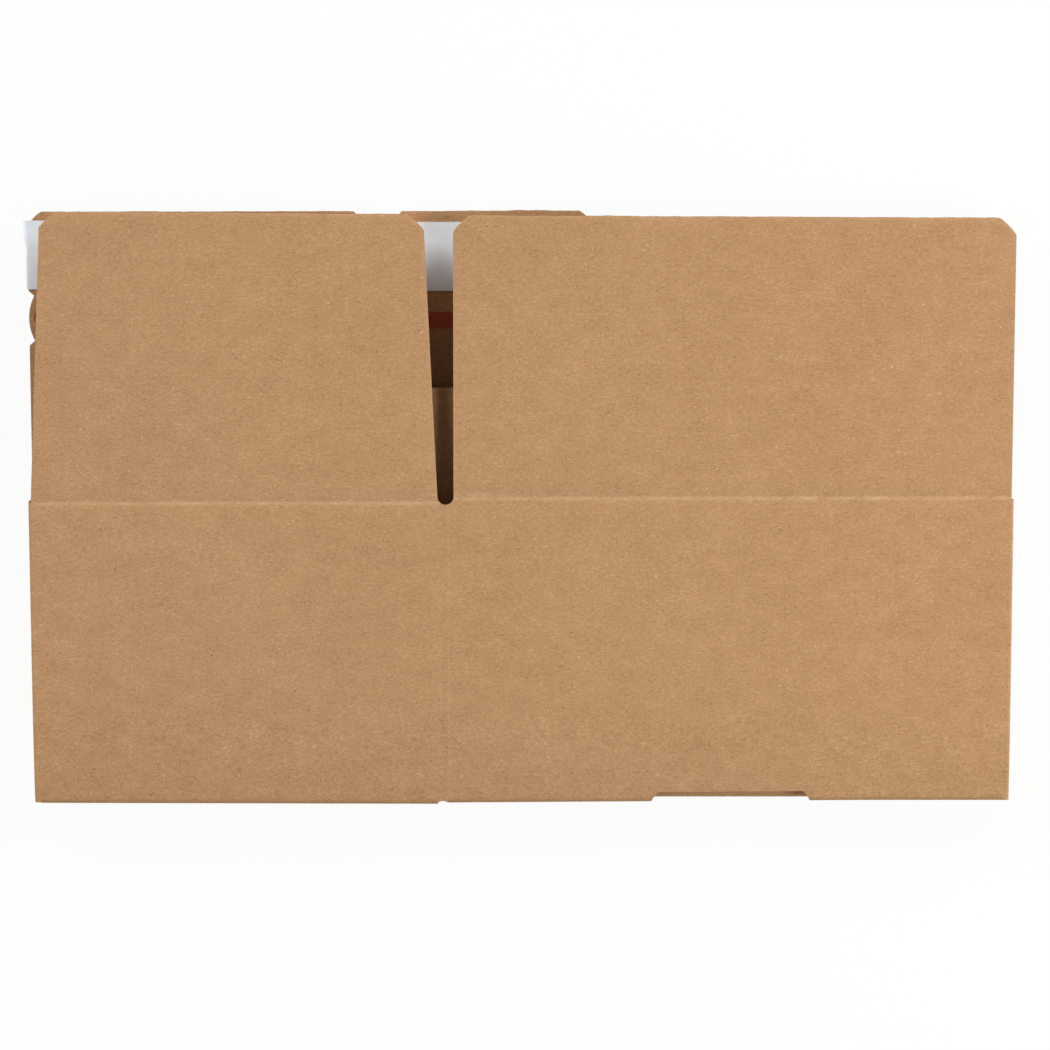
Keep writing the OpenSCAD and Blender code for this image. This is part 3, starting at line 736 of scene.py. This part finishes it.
def flap_lines(width, height, marks, dense=()):
    """Grid lines of a flap: across it, up it, and closer ones across its wavy sheet.

    Across they are even, closer at the sides, and hold the marks. Up they are close together at the
    crease, at the tip and at the dense heights.
    """
    close = 9.0
    ends = np.array([0.0, 0.25, 0.5, 1.0, 1.8, 2.8]) / width
    u = with_marks(int(width / STEP) + 1, np.append(both_sides(ends), marks))
    up = [close * np.linspace(0.0, 1.0, 11) ** 1.5, np.linspace(close, height - close, 9),
          height - close * np.linspace(1.0, 0.0, 13) ** 1.7, dense]
    v = np.unique((np.concatenate(up) / height).round(5))
    return u, v, with_marks(int(width / WAVE_STEP), marks)


def leaning_flap(box, base, inward, b, c, slot_right, slant, seed):
    """Narrow flap whose sides lean in up to its cut corners and whose tip slants a little."""
    level_at = 0.7
    (x0, _, _), (x1, tip, _) = box
    y0 = NARROW_Y + b.strip
    lean_left, lean_right = (c.lean_fold, c.lean_slot) if slot_right else (c.lean_slot, c.lean_fold)
    width = x1 - x0 - lean_left - lean_right

    def shape(u, v):
        along = u * width
        short = cut_corner(np.minimum(along, width - along), c.end_cut_w, c.end_cut_h)
        end = tip + slant * (level_at - u) - short - rough_cut(along, seed, b)
        y = y0 + v * (end - y0)
        rise = np.clip((y - y0) / (tip - c.end_cut_h - y0), 0.0, 1.0)
        left, right = x0 + lean_left * rise, x1 - lean_right * rise
        x = left + u * (right - left)
        return x, y, np.minimum(np.minimum(x - left, right - x), end - y)

    u, v, wave_u = flap_lines(width, tip - y0, both_sides(corner_columns(c.end_cut_w) / width))
    return fluted_board(shape, base, inward, b, u, v, wave_u, every_other(v), NARROW_Y)


def front_wide_flap(b, c):
    """Wide flap with two cut corners, standing a little askew, its tip slanting to the right."""
    level_at, seed = 0.6, 41
    (x0, _, _), (x1, tip, _) = FRONT_WIDE
    y0 = WIDE_Y + b.strip
    width = x1 - x0

    def shape(u, v):
        along = u * width
        near = np.minimum(along, width - along)
        end = tip + c.tip_slant * (level_at - u) - cut_corner(near, c.cut_w, c.cut_h)
        end = end - rough_cut(along, seed, b)
        y = y0 + v * (end - y0)
        x = x0 + along + c.skew * (y - y0) / (tip - y0)
        return x, y, np.minimum(near + 0.0 * y, end - y)

    u, v, wave_u = flap_lines(width, tip - y0, both_sides(corner_columns(c.cut_w) / width))
    return fluted_board(shape, *FRONT_FACE, b, u, v, wave_u, every_other(v), WIDE_Y)


def pull_tab_side(y, tape_y, c):
    """How far the back flap's side stands in at height y: two nicks with a round tab between them.

    Outside the tab the side slopes back out over the nick's slope, and the tab is a circle's arc.
    """
    off = np.abs(y - tape_y)
    half = c.pull_h / 2.0
    r = c.pull_h ** 2 / (8.0 * c.pull_d) + c.pull_d / 2.0
    tab = r - np.sqrt(np.clip(r ** 2 - off ** 2, 0.0, None))
    slope = c.pull_d * np.clip(1.0 - (off - half) / c.nick, 0.0, 1.0)
    return np.where(off < half, tab, slope)


def back_wide_flap(b, c):
    """Wide back flap with its two cut corners, the pull tab in its left side and an uneven tip.

    The tip has a dip with sloping ends and a low flat bump, and the rows below it follow over a short
    reach. The pull tab's shape dies away across the flap with a high power of the distance.
    """
    bump_h, bump_x, bump_half = 0.35, MID_X + 4.5, 8.0
    tip_reach, tab_power, seed = 20.0, 6, 51
    (x0, _, _), (x1, tip, _) = BACK_WIDE
    y0 = WIDE_Y + b.strip
    tape_y = (TAPE[0][1] + TAPE[1][1]) / 2.0 + c.tilt
    width = x1 - x0
    dip_x = x1 - c.dip_x

    def shape(u, v):
        straight = x0 + u * width
        short = cut_corner(straight - x0, c.back_cut, c.back_cut)
        short = np.maximum(short, cut_corner(x1 - straight, c.end_cut_w, c.end_cut_h))
        dip = c.dip_d * np.clip((c.dip_w / 2.0 + c.dip_d - np.abs(straight - dip_x)) / c.dip_d, 0.0, 1.0)
        bump = bump_h * np.exp(-((straight - bump_x) / bump_half) ** 4)
        end = tip + bump - short - dip - rough_cut(straight, seed, b)
        follow = np.clip(1.0 - (1.0 - v) * (tip - y0) / tip_reach, 0.0, 1.0)
        y = y0 + v * (tip - y0) - (tip - end) * follow
        side = pull_tab_side(y, tape_y, c) * (1.0 - u) ** tab_power
        x = straight + side
        return x, y, np.minimum(np.minimum(x - x0 - side, x1 - x), end - y)

    nicks = c.pull_h / 2.0 + np.array([-0.1, 0.1, 0.6, 1.2, 1.8])
    dense = tape_y - y0 + np.concatenate([nicks, -nicks, np.linspace(-8.3, 8.3, 15)])
    bends = np.append(corner_columns(c.back_cut), corner_columns(c.end_cut_w))
    dip_ends = c.dip_w / 2.0 + np.array([0.0, c.dip_d])
    marks = np.concatenate([bends, width - bends, dip_x - x0 - dip_ends, dip_x - x0 + dip_ends]) / width
    u, v, wave_u = flap_lines(width, tip - y0, marks, dense)
    return fluted_board(shape, *BACK_FACE, b, u, v, wave_u, v, WIDE_Y)


def long_bottom_flap(b, c):
    """Free part of the long bottom flap over the wide back panel, with the lock tab on its tip.

    Above the buried bottom flaps it springs up towards its tip in a smooth step.
    """
    tab_play, lines, wave_step = 4.0, 90, 0.8
    x0, x1 = c.left, SEAM_X - c.flap_clear
    y0, tip = c.wide_low + FLAP_ROOT, c.wide_low + c.long_flap
    width = x1 - x0
    half = (c.notch_w - tab_play) / 2.0

    def shape(u, v):
        x = x0 + u * width
        near = np.minimum(x - x0, x1 - x)
        tab = b.thickness * np.clip((half - np.abs(x - (x0 + x1) / 2.0)) / c.notch_slope, 0.0, 1.0)
        end = tip + tab - cut_corner(near, c.cut_w, c.cut_h)
        y = y0 + v * (end - y0)
        return x + 0.0 * y, y, np.minimum(near + 0.0 * y, end - y)

    tab_ends = width / 2.0 - half + np.array([0.0, c.notch_slope])
    marks = both_sides(np.append(corner_columns(c.cut_w), tab_ends) / width)
    v = np.array([0.0, 0.3, 0.58, 0.67, 0.76, 0.85, 0.94, 0.985, 1.0])
    top = 2.0 * b.thickness + b.gap
    shell = fluted_board(shape, top, -1.0, b, with_marks(lines, marks), v,
                         with_marks(int(width / wave_step), marks), v)
    free_y = c.wide_low + c.short_flap
    shell.points[:, 2] += c.flap_lift * smooth_step((shell.points[:, 1] - free_y) / (tip - free_y))
    return shell


def crease_strip(left, right, crease_y, base, inward, b):
    """Board that bends in a crease: dented outside, grooved inside, from one end line to the other.

    Its lines stand about a millimetre apart.
    """
    y = crease_y + b.strip * np.linspace(-1.0, 1.0, 17)[:, None]
    x0, x1 = left(y), right(y)
    x = x0 + np.linspace(0.0, 1.0, int(np.max(x1) - np.min(x0))) * (x1 - x0)
    y = y + 0.0 * x
    d = y - crease_y
    outer = place(x, y, washboard(x, y, b) + crease_dent(d, b), base, inward)
    inner = place(x, y, b.thickness - crease_groove(d, b), base, inward)
    return thick_sheet(outer, inner, wear=crease_wear(d, x, inward))


def strip_rise(x, c):
    """How far a closing strip stands up its flap: level right of the slot, rising evenly to the free end."""
    return c.tilt * np.clip((SLOT_X - x) / (SLOT_X - LEFT_X), 0.0, 1.0)


def film(x, y, z, thick):
    """Thin sheet of even thickness over the heights z."""
    return thick_sheet(np.stack([x, y, z + thick], -1), np.stack([x, y, z], -1))


def liner_sheet(c):
    """Release liner: a thin sheet that follows the adhesive and hangs down at its free, eared end.

    The free end stands back below the ear in a smooth step and comes out again a little, the stuck part
    is faintly wavy, and the free part falls with a power of its distance, most at the ear.
    """
    free_share, ear_rows, soft, lower_out = 0.1, [0.58, 0.79], 0.5, 0.3
    wave_h, wave, wave_start, seed = 0.035, 17.0, 0.02, 61
    hang_power, even_share, ear_at = 1.4, 0.75, 0.1
    (x0, y0, z0), (x1, y1, z1) = LINER
    v = np.unique(np.append(np.linspace(0.0, 1.0, 27), ear_rows))[:, None]
    u = np.append(np.linspace(0.0, free_share, 26), np.linspace(free_share, 1.0, 120)[1:])
    y = y0 + v * (y1 - y0)
    low = y1 - y
    step = c.ear_step * smooth_step((low - c.ear_h + soft) / (c.ear_h + soft))
    step = step - lower_out * smooth_step((low - 2.0 * c.ear_h) / c.ear_h)
    x = x0 + step + u * (x1 - x0 - step)
    free = np.clip((BACK_WIDE[0][0] - x) / (BACK_WIDE[0][0] - x0), 0.0, 1.0)
    at_ear = np.cos(math.pi * (low / (y1 - y0) - ear_at))
    fall = c.hang * free ** hang_power * (even_share + (1.0 - even_share) * at_ear)
    wavy = wave_h * (1.0 + ripple(x, wave, seed)) * smooth_step(u / wave_start)
    return film(x, y + strip_rise(x, c), z0 - fall + wavy * np.sin(math.pi * v) ** 2, z1 - z0)


def tape_strip(b, c):
    """Tear tape: a thin film with a round end that follows the washboard of the flap's inner face."""
    wander, wave, seed, inner_share = 0.12, 70.0, 71, 0.3
    (x0, y0, z0), (x1, y1, z1) = TAPE
    v = np.linspace(0.0, 1.0, 7)[:, None]
    u = np.linspace(0.0, 1.0, 170)
    start = x0 + c.tape_end * (2.0 * v - 1.0) ** 2 + c.tape_end
    x = start + u * (x1 - start)
    y = y0 + v * (y1 - y0) + wander * ripple(x, wave, seed) + strip_rise(x, c)
    return film(x, y, z0 - inner_share * washboard(x + b.flute / 2.0, y, b), z1 - z0)


# Materials


WHITE = (1.0, 1.0, 1.0, 1.0)


def shaded(tint, share):
    """A colour taken down to a share of itself."""
    return [share * v for v in tint[:3]] + [1.0]


class Nodes:
    """A node tree with short calls for adding and joining nodes."""

    def __init__(self, tree):
        self.tree = tree

    def add(self, kind, inputs=None, **settings):
        """A new node with its settings made and its inputs fed."""
        node = self.tree.nodes.new(kind)
        for key, value in settings.items():
            setattr(node, key, value)
        for key, value in (inputs or {}).items():
            self.feed(node.inputs[key], value)
        return node

    def feed(self, socket, value):
        """Links another node's output to a socket, or sets the socket's own value."""
        if isinstance(value, bpy.types.NodeSocket):
            self.tree.links.new(value, socket)
        else:
            socket.default_value = value

    def noise(self, vector, scale, detail, roughness=0.55, distortion=0.0):
        """Noise with one scale along all axes."""
        node = self.add("ShaderNodeTexNoise", {"Vector": vector, "Scale": scale, "Detail": detail,
                                               "Roughness": roughness, "Distortion": distortion})
        return node.outputs["Fac"]

    def mapped(self, vector, scale, location=(0.0, 0.0, 0.0)):
        """Coordinates scaled and moved."""
        node = self.add("ShaderNodeMapping", {"Vector": vector, "Scale": scale, "Location": location})
        return node.outputs["Vector"]

    def stretched(self, vector, scale, detail, roughness=0.55, distortion=0.0):
        """Noise with a scale of its own along each axis."""
        return self.noise(self.mapped(vector, scale), 1.0, detail, roughness, distortion)

    def math(self, operation, a, b=0.0, c=0.0):
        """One step of arithmetic on up to three values."""
        node = self.add("ShaderNodeMath", {0: a, 1: b, 2: c}, operation=operation)
        return node.outputs[0]

    def ramp(self, value, low, high, to_low=0.0, to_high=1.0):
        """Smooth step of a value from low to high, carried over to another range."""
        node = self.add("ShaderNodeMapRange", {"Value": value, "From Min": low, "From Max": high,
                                               "To Min": to_low, "To Max": to_high},
                        interpolation_type="SMOOTHSTEP")
        return node.outputs["Result"]

    def mix(self, factor, a, b):
        """Mix of two colours; the node's colour sockets are its inputs 6 and 7 and its output 2."""
        node = self.add("ShaderNodeMix", data_type="RGBA")
        for socket, value in ((0, factor), (6, a), (7, b)):
            self.feed(node.inputs[socket], value)
        return node.outputs[2]

    def mix_shaders(self, factor, a, b):
        """Mix of two shaders."""
        return self.add("ShaderNodeMixShader", {0: factor, 1: a, 2: b}).outputs[0]

    def seen(self):
        """1 for rays from the camera and for rays in reflections and glass, 0 for all others."""
        path = self.add("ShaderNodeLightPath").outputs
        mirrored = self.math("MAXIMUM", path["Is Glossy Ray"], path["Is Transmission Ray"])
        return self.math("MAXIMUM", path["Is Camera Ray"], mirrored)


class Finish(Nodes):
    """A new material with its node tree, its shader and the piece's Object coordinates."""

    def __init__(self, name):
        self.material = bpy.data.materials.new(name)
        self.material.use_nodes = True
        super().__init__(self.material.node_tree)
        self.shader = self.tree.nodes["Principled BSDF"]

    def coordinates(self):
        """Object coordinates, on which every pattern of the piece lies."""
        return self.add("ShaderNodeTexCoord").outputs["Object"]

    def bump(self, height, strength, distance):
        """Fine relief of the surface from a height."""
        node = self.add("ShaderNodeBump", {"Height": height, "Strength": strength, "Distance": distance})
        return node.outputs["Normal"]

    def specks(self, vector, scale, seed, share, radius):
        """Sparse uneven specks: cells of a Voronoi pattern, of which a share holds a spot.

        A noise bends the pattern, so that the spots aren't round, and each spot fades towards its rim.
        """
        squat, bend, core, strongest = 1.25, (0.16, 0.16, 0.16), 0.45, 0.6
        place_at = self.mapped(vector, (scale, scale * squat, scale), (seed, seed * 1.7, seed * 0.6))
        noise = self.add("ShaderNodeTexNoise", {"Vector": place_at, "Scale": 5.0, "Detail": 2.0})
        bent = self.add("ShaderNodeVectorMath", {0: noise.outputs["Color"], 1: bend, 2: place_at},
                        operation="MULTIPLY_ADD")
        cell = self.add("ShaderNodeTexVoronoi", {"Vector": bent.outputs[0], "Scale": 1.0})
        chance = self.add("ShaderNodeSeparateColor", {"Color": cell.outputs["Color"]})
        spot = self.ramp(cell.outputs["Distance"], radius, radius * core)
        holds = self.ramp(chance.outputs[0], 1.0 - share, 1.0 - share * strongest)
        return self.math("MULTIPLY", spot, holds)

    def done(self, **inputs):
        """Feeds the shader's sockets, named with _ for a space, and hands back the material."""
        for key, value in inputs.items():
            self.feed(self.shader.inputs[key.replace("_", " ")], value)
        return self.material


def kraft_material(name, look, cut_edge):
    """Kraft facing: cross-lying fibres, mottle, bark specks, pale specks and rubbed creases."""
    rub_share = 0.54
    n = Finish(name)
    at = n.coordinates()
    fibres = n.stretched(at, (520.0, 1000.0, 1000.0), detail=3.0, roughness=0.6, distortion=0.4)
    grain = n.stretched(at, (1300.0, 1650.0, 1650.0), detail=2.0, roughness=0.6)
    mottle = n.stretched(at, (120.0, 170.0, 170.0), detail=3.0, roughness=0.5, distortion=0.3)
    cloud = n.noise(at, scale=21.0, detail=2.0)
    tone = n.math("MULTIPLY", grain, 0.44)
    for pattern, share in ((fibres, 0.34), (mottle, 0.16), (cloud, 0.06)):
        tone = n.math("MULTIPLY_ADD", pattern, share, tone)
    body = look.cut_edge if cut_edge else look.kraft
    tint = n.mix(n.ramp(tone, 0.36, 0.50), look.kraft_dark, body)
    tint = n.mix(n.ramp(tone, 0.50, 0.66), tint, look.kraft_pale)
    for scale, seed, share, radius, strength, speck in (
            (190.0, 3.0, 0.20, 0.085, 0.75, look.speck_dark),
            (420.0, 9.0, 0.16, 0.14, 0.40, look.speck_dark),
            (170.0, 17.0, 0.15, 0.08, 0.60, look.speck_pale),
            (460.0, 29.0, 0.14, 0.15, 0.32, look.speck_pale)):
        tint = n.mix(n.math("MULTIPLY", n.specks(at, scale, seed, share, radius), strength), tint, speck)
    worn = n.add("ShaderNodeAttribute", attribute_name="wear", attribute_type="GEOMETRY").outputs["Fac"]
    patches = n.stretched(at, (420.0, 1300.0, 900.0), detail=3.0)
    patchy = n.math("MULTIPLY", n.ramp(patches, 0.32, 0.62, to_low=0.45), rub_share)
    tint = n.mix(n.math("MULTIPLY", worn, patchy), tint, look.rubbed)
    height = n.math("MULTIPLY_ADD", grain, 0.5, fibres)
    relief = n.bump(height, strength=0.6 if cut_edge else 0.25, distance=0.00008)
    return n.done(Base_Color=tint, Roughness=n.ramp(tone, 0.35, 0.65, to_low=0.93, to_high=0.80),
                  Specular_IOR_Level=0.22, Normal=relief)


def liner_material(look):
    """Coated paper: almost even white with soft clouds, a faint sheen and a fine tooth."""
    n = Finish("coated_liner_paper")
    at = n.coordinates()
    cloud = n.stretched(at, (60.0, 110.0, 90.0), detail=3.0)
    tooth = n.noise(at, scale=2600.0, detail=3.0)
    tint = n.mix(n.ramp(cloud, 0.3, 0.6), shaded(look.liner, 0.95), look.liner)
    return n.done(Base_Color=tint, Roughness=n.ramp(tooth, 0.3, 0.7, to_low=0.42, to_high=0.55),
                  Specular_IOR_Level=0.4, Normal=n.bump(tooth, strength=0.12, distance=0.00004))


def tape_material(look):
    """Red tear film: slightly streaked along its length, satin, with fine relief along the streaks."""
    n = Finish("red_tear_film")
    streak = n.stretched(n.coordinates(), (35.0, 1500.0, 300.0), detail=3.0)
    tint = n.mix(n.ramp(streak, 0.3, 0.68), shaded(look.tape, 0.72), look.tape)
    return n.done(Base_Color=tint, Roughness=n.ramp(streak, 0.3, 0.7, to_low=0.45, to_high=0.6),
                  Specular_IOR_Level=0.2, Normal=n.bump(streak, strength=0.15, distance=0.00005))


def gum_material(look):
    """Hot-melt adhesive: milky, a little cloudy and uneven in gloss."""
    n = Finish("milky_adhesive")
    cloud = n.noise(n.coordinates(), scale=240.0, detail=3.0)
    tint = n.mix(n.ramp(cloud, 0.3, 0.7), shaded(look.gum, 0.82), look.gum)
    return n.done(Base_Color=tint, Roughness=n.ramp(cloud, 0.3, 0.7, to_low=0.25, to_high=0.45))


def floor_material():
    """Matt white floor that the camera sees nearly white, with the object's soft shadow kept."""
    glow_share = 0.93
    n = Finish("white_floor")
    glow = n.add("ShaderNodeEmission", {"Color": WHITE, "Strength": 1.0})
    shown = n.mix_shaders(n.math("MULTIPLY", n.seen(), glow_share), n.shader.outputs[0], glow.outputs[0])
    n.feed(n.tree.nodes["Material Output"].inputs["Surface"], shown)
    return n.done(Base_Color=shaded(WHITE, 0.95), Roughness=0.9, Specular_IOR_Level=0.0)


def kraft_pair():
    """The board's facing and its cut edge, made once."""
    look = bpy.context.scene.carton_look
    return [bpy.data.materials.get(name) or kraft_material(name, look, edge)
            for name, edge in (("brown_kraft_facing", False), ("kraft_cut_edge", True))]


# Operators


class CARTON_OT_body(bpy.types.Operator):
    """Build the folded walls, the auto-lock bottom and the glued seam as one piece of board"""

    bl_idname = "carton.body"
    bl_label = "Folded carton"

    def execute(self, context):
        b, c = board(), cut()
        below_crease, above_fold = 0.2, 0.25
        shells = [front_panels(b, c), back_wide_panel(b, c), back_narrow_panel(b, c), long_bottom_flap(b, c)]
        narrow = (NARROW_Y - below_crease, BODY_LOW[1] + above_fold, NARROW_Y)
        wide = (WIDE_Y - b.strip, c.wide_low + above_fold, WIDE_Y)
        shells += side_fold(-1.0, *zip(narrow, wide), b, c)
        shells += side_fold(1.0, *zip(wide, narrow), b, c)
        shells += glue_corner(1.0, 3.0 * b.pitch, b.pitch + b.thickness, b, c)
        shells += glue_corner(-1.0, b.pitch, 2.0 * b.pitch + b.thickness, b, c)
        shell = joined(shells)
        shell.points = sink(shell.points, b)
        piece = make_piece("folded_carton", shell, kraft_pair())
        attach(piece, "carton")
        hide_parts("carton_body")
        return {"FINISHED"}


class CARTON_OT_top_flaps(bpy.types.Operator):
    """Build the four top flaps with open flutes at their cut edges"""

    bl_idname = "carton.top_flaps"
    bl_label = "Top flaps"

    def execute(self, context):
        b, c = board(), cut()
        flaps = (
            ("front_wide_flap", "front_side_flap", front_wide_flap(b, c)),
            ("front_narrow_flap", "front_end_flap",
             leaning_flap(FRONT_NARROW, *FRONT_FACE, b, c, slot_right=True, slant=c.tip_slant, seed=21)),
            ("back_wide_flap", "back_side_flap", back_wide_flap(b, c)),
            ("back_narrow_flap", "back_end_flap",
             leaning_flap(BACK_NARROW, *BACK_FACE, b, c, slot_right=False, slant=0.0, seed=31)),
        )
        for name, body, shell in flaps:
            piece = make_piece(name, shell, kraft_pair())
            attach(piece, body)
            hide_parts(body)
        return {"FINISHED"}


class CARTON_OT_creases(bpy.types.Operator):
    """Build the strip of board that bends between the carton and each top flap"""

    bl_idname = "carton.creases"
    bl_label = "Flap creases"

    def execute(self, context):
        b = board()

        def slot_side(sign):
            """Side of the slot: upright above the wide crease and a circle's arc below it."""
            def line(y):
                round_end = np.sqrt(np.clip(SLOT_R ** 2 - np.clip(WIDE_Y - y, 0.0, None) ** 2, 0.0, None))
                return SLOT_X + sign * round_end
            return line

        def upright(x):
            """Straight end line at one x."""
            return lambda y: x + 0.0 * y

        strips = (
            ("front_wide_crease", "front_side_flap", slot_side(1.0), upright(FRONT_WIDE[1][0]),
             WIDE_Y, FRONT_FACE),
            ("front_narrow_crease", "front_end_flap", upright(FRONT_NARROW[0][0]), slot_side(-1.0),
             NARROW_Y, FRONT_FACE),
            ("back_wide_crease", "back_side_flap", upright(BACK_WIDE[0][0]), upright(BACK_WIDE[1][0]),
             WIDE_Y, BACK_FACE),
            ("back_narrow_crease", "back_end_flap", upright(BACK_NARROW[0][0]), upright(BACK_NARROW[1][0]),
             NARROW_Y, BACK_FACE),
        )
        for name, flap, left, right, crease_y, face in strips:
            shell = crease_strip(left, right, crease_y, *face, b)
            piece = make_piece(name, shell, kraft_pair())
            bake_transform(piece)
        return {"FINISHED"}


class CARTON_OT_closing_strips(bpy.types.Operator):
    """Build the release liner and the red tear tape and finish the adhesive between liner and board"""

    bl_idname = "carton.closing_strips"
    bl_label = "Closing strips"

    def execute(self, context):
        b, c = board(), cut()
        look = context.scene.carton_look
        liner = make_piece("peel_off_liner", liner_sheet(c), [liner_material(look)])
        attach(liner, "back_side_flap")
        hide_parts("release_liner")
        tape = make_piece("red_tear_tape", tape_strip(b, c), [tape_material(look)])
        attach(tape, "back_side_flap")
        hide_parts("tear_tape")
        strip = frame["nodes"]["adhesive_strip"]
        strip.data.materials.clear()
        strip.data.materials.append(gum_material(look))
        return {"FINISHED"}


class CARTON_OT_stage(bpy.types.Operator):
    """Set up the floor, the soft lamps, the white surroundings and the camera"""

    bl_idname = "carton.stage"
    bl_label = "Stage"

    def execute(self, context):
        scene = context.scene
        stage = scene.carton_stage
        scene.view_settings.view_transform = "Standard"
        half = stage.floor_side / 2.0
        mesh = bpy.data.meshes.new("floor")
        mesh.from_pydata([(-half, -half, 0.0), (half, -half, 0.0), (half, half, 0.0), (-half, half, 0.0)],
                         [], [(0, 1, 2, 3)])
        mesh.materials.append(floor_material())
        floor = bpy.data.objects.new("floor", mesh)
        scene.collection.objects.link(floor)
        for name in ("right", "far", "left", "fill"):
            light = bpy.data.lights.new(name + "_lamp", "AREA")
            lamp = bpy.data.objects.new(name + "_lamp", light)
            lamp.location = getattr(stage, name + "_place")
            light.size = stage.lamp_share * lamp.location.length
            light.energy = getattr(stage, name + "_power")
            lamp.rotation_euler = (-lamp.location).to_track_quat("-Z", "Y").to_euler()
            scene.collection.objects.link(lamp)
        self.surroundings(scene, stage.sky_low, stage.sky_high)
        camera = bpy.data.objects.new("camera", bpy.data.cameras.new("camera"))
        camera.data.sensor_width = SENSOR_W
        camera.data.lens = stage.lens
        camera.location = stage.camera_place
        camera.rotation_euler = stage.camera_turn
        scene.collection.objects.link(camera)
        scene.camera = camera
        return {"FINISHED"}

    @staticmethod
    def surroundings(scene, low, high):
        """White to the camera and in reflections, for everything else a soft light that fades overhead."""
        world = scene.world or bpy.data.worlds.new("surroundings")
        scene.world = world
        world.use_nodes = True
        n = Nodes(world.node_tree)
        n.tree.nodes.clear()
        way = n.add("ShaderNodeTexCoord").outputs["Generated"]
        upward = n.add("ShaderNodeSeparateXYZ", {0: way}).outputs["Z"]
        fade = n.add("ShaderNodeMapRange", {"Value": upward, "To Min": low, "To Max": high})
        light, white = [n.add("ShaderNodeBackground", {"Color": WHITE, "Strength": strength}).outputs[0]
                        for strength in (fade.outputs["Result"], 1.0)]
        n.add("ShaderNodeOutputWorld", {"Surface": n.mix_shaders(n.seen(), light, white)})


class CARTON_PT_sidebar(bpy.types.Panel):
    """Lists the carton's pieces, sizes and colours"""

    bl_label = "Carton"
    bl_idname = "CARTON_PT_sidebar"
    bl_space_type = "VIEW_3D"
    bl_region_type = "UI"
    bl_category = "Carton"

    def draw(self, context):
        for operator in OPERATORS:
            self.layout.operator(operator.bl_idname)
        for name in GROUPS:
            group = getattr(context.scene, name)
            box = self.layout.box()
            for field in group.__annotations__:
                box.prop(group, field)


OPERATORS = (CARTON_OT_body, CARTON_OT_top_flaps, CARTON_OT_creases, CARTON_OT_closing_strips,
             CARTON_OT_stage)
GROUPS = {"carton_board": CartonBoard, "carton_cut": CartonCut, "carton_look": CartonLook,
          "carton_stage": CartonStage}


def register():
    """Makes the sizes, the operators and the panel known to Blender."""
    for group in GROUPS.values():
        bpy.utils.register_class(group)
    for name, group in GROUPS.items():
        setattr(bpy.types.Scene, name, PointerProperty(type=group))
    for kind in OPERATORS + (CARTON_PT_sidebar,):
        bpy.utils.register_class(kind)


def unregister():
    """Takes back what register did, in the opposite order."""
    for kind in reversed(OPERATORS + (CARTON_PT_sidebar,)):
        bpy.utils.unregister_class(kind)
    for name in GROUPS:
        delattr(bpy.types.Scene, name)
    for group in reversed(list(GROUPS.values())):
        bpy.utils.unregister_class(group)


def main():
    register()
    bpy.ops.carton.body()
    bpy.ops.carton.top_flaps()
    bpy.ops.carton.creases()
    bpy.ops.carton.closing_strips()
    bpy.ops.carton.stage()


if __name__ == "__main__":
    main()
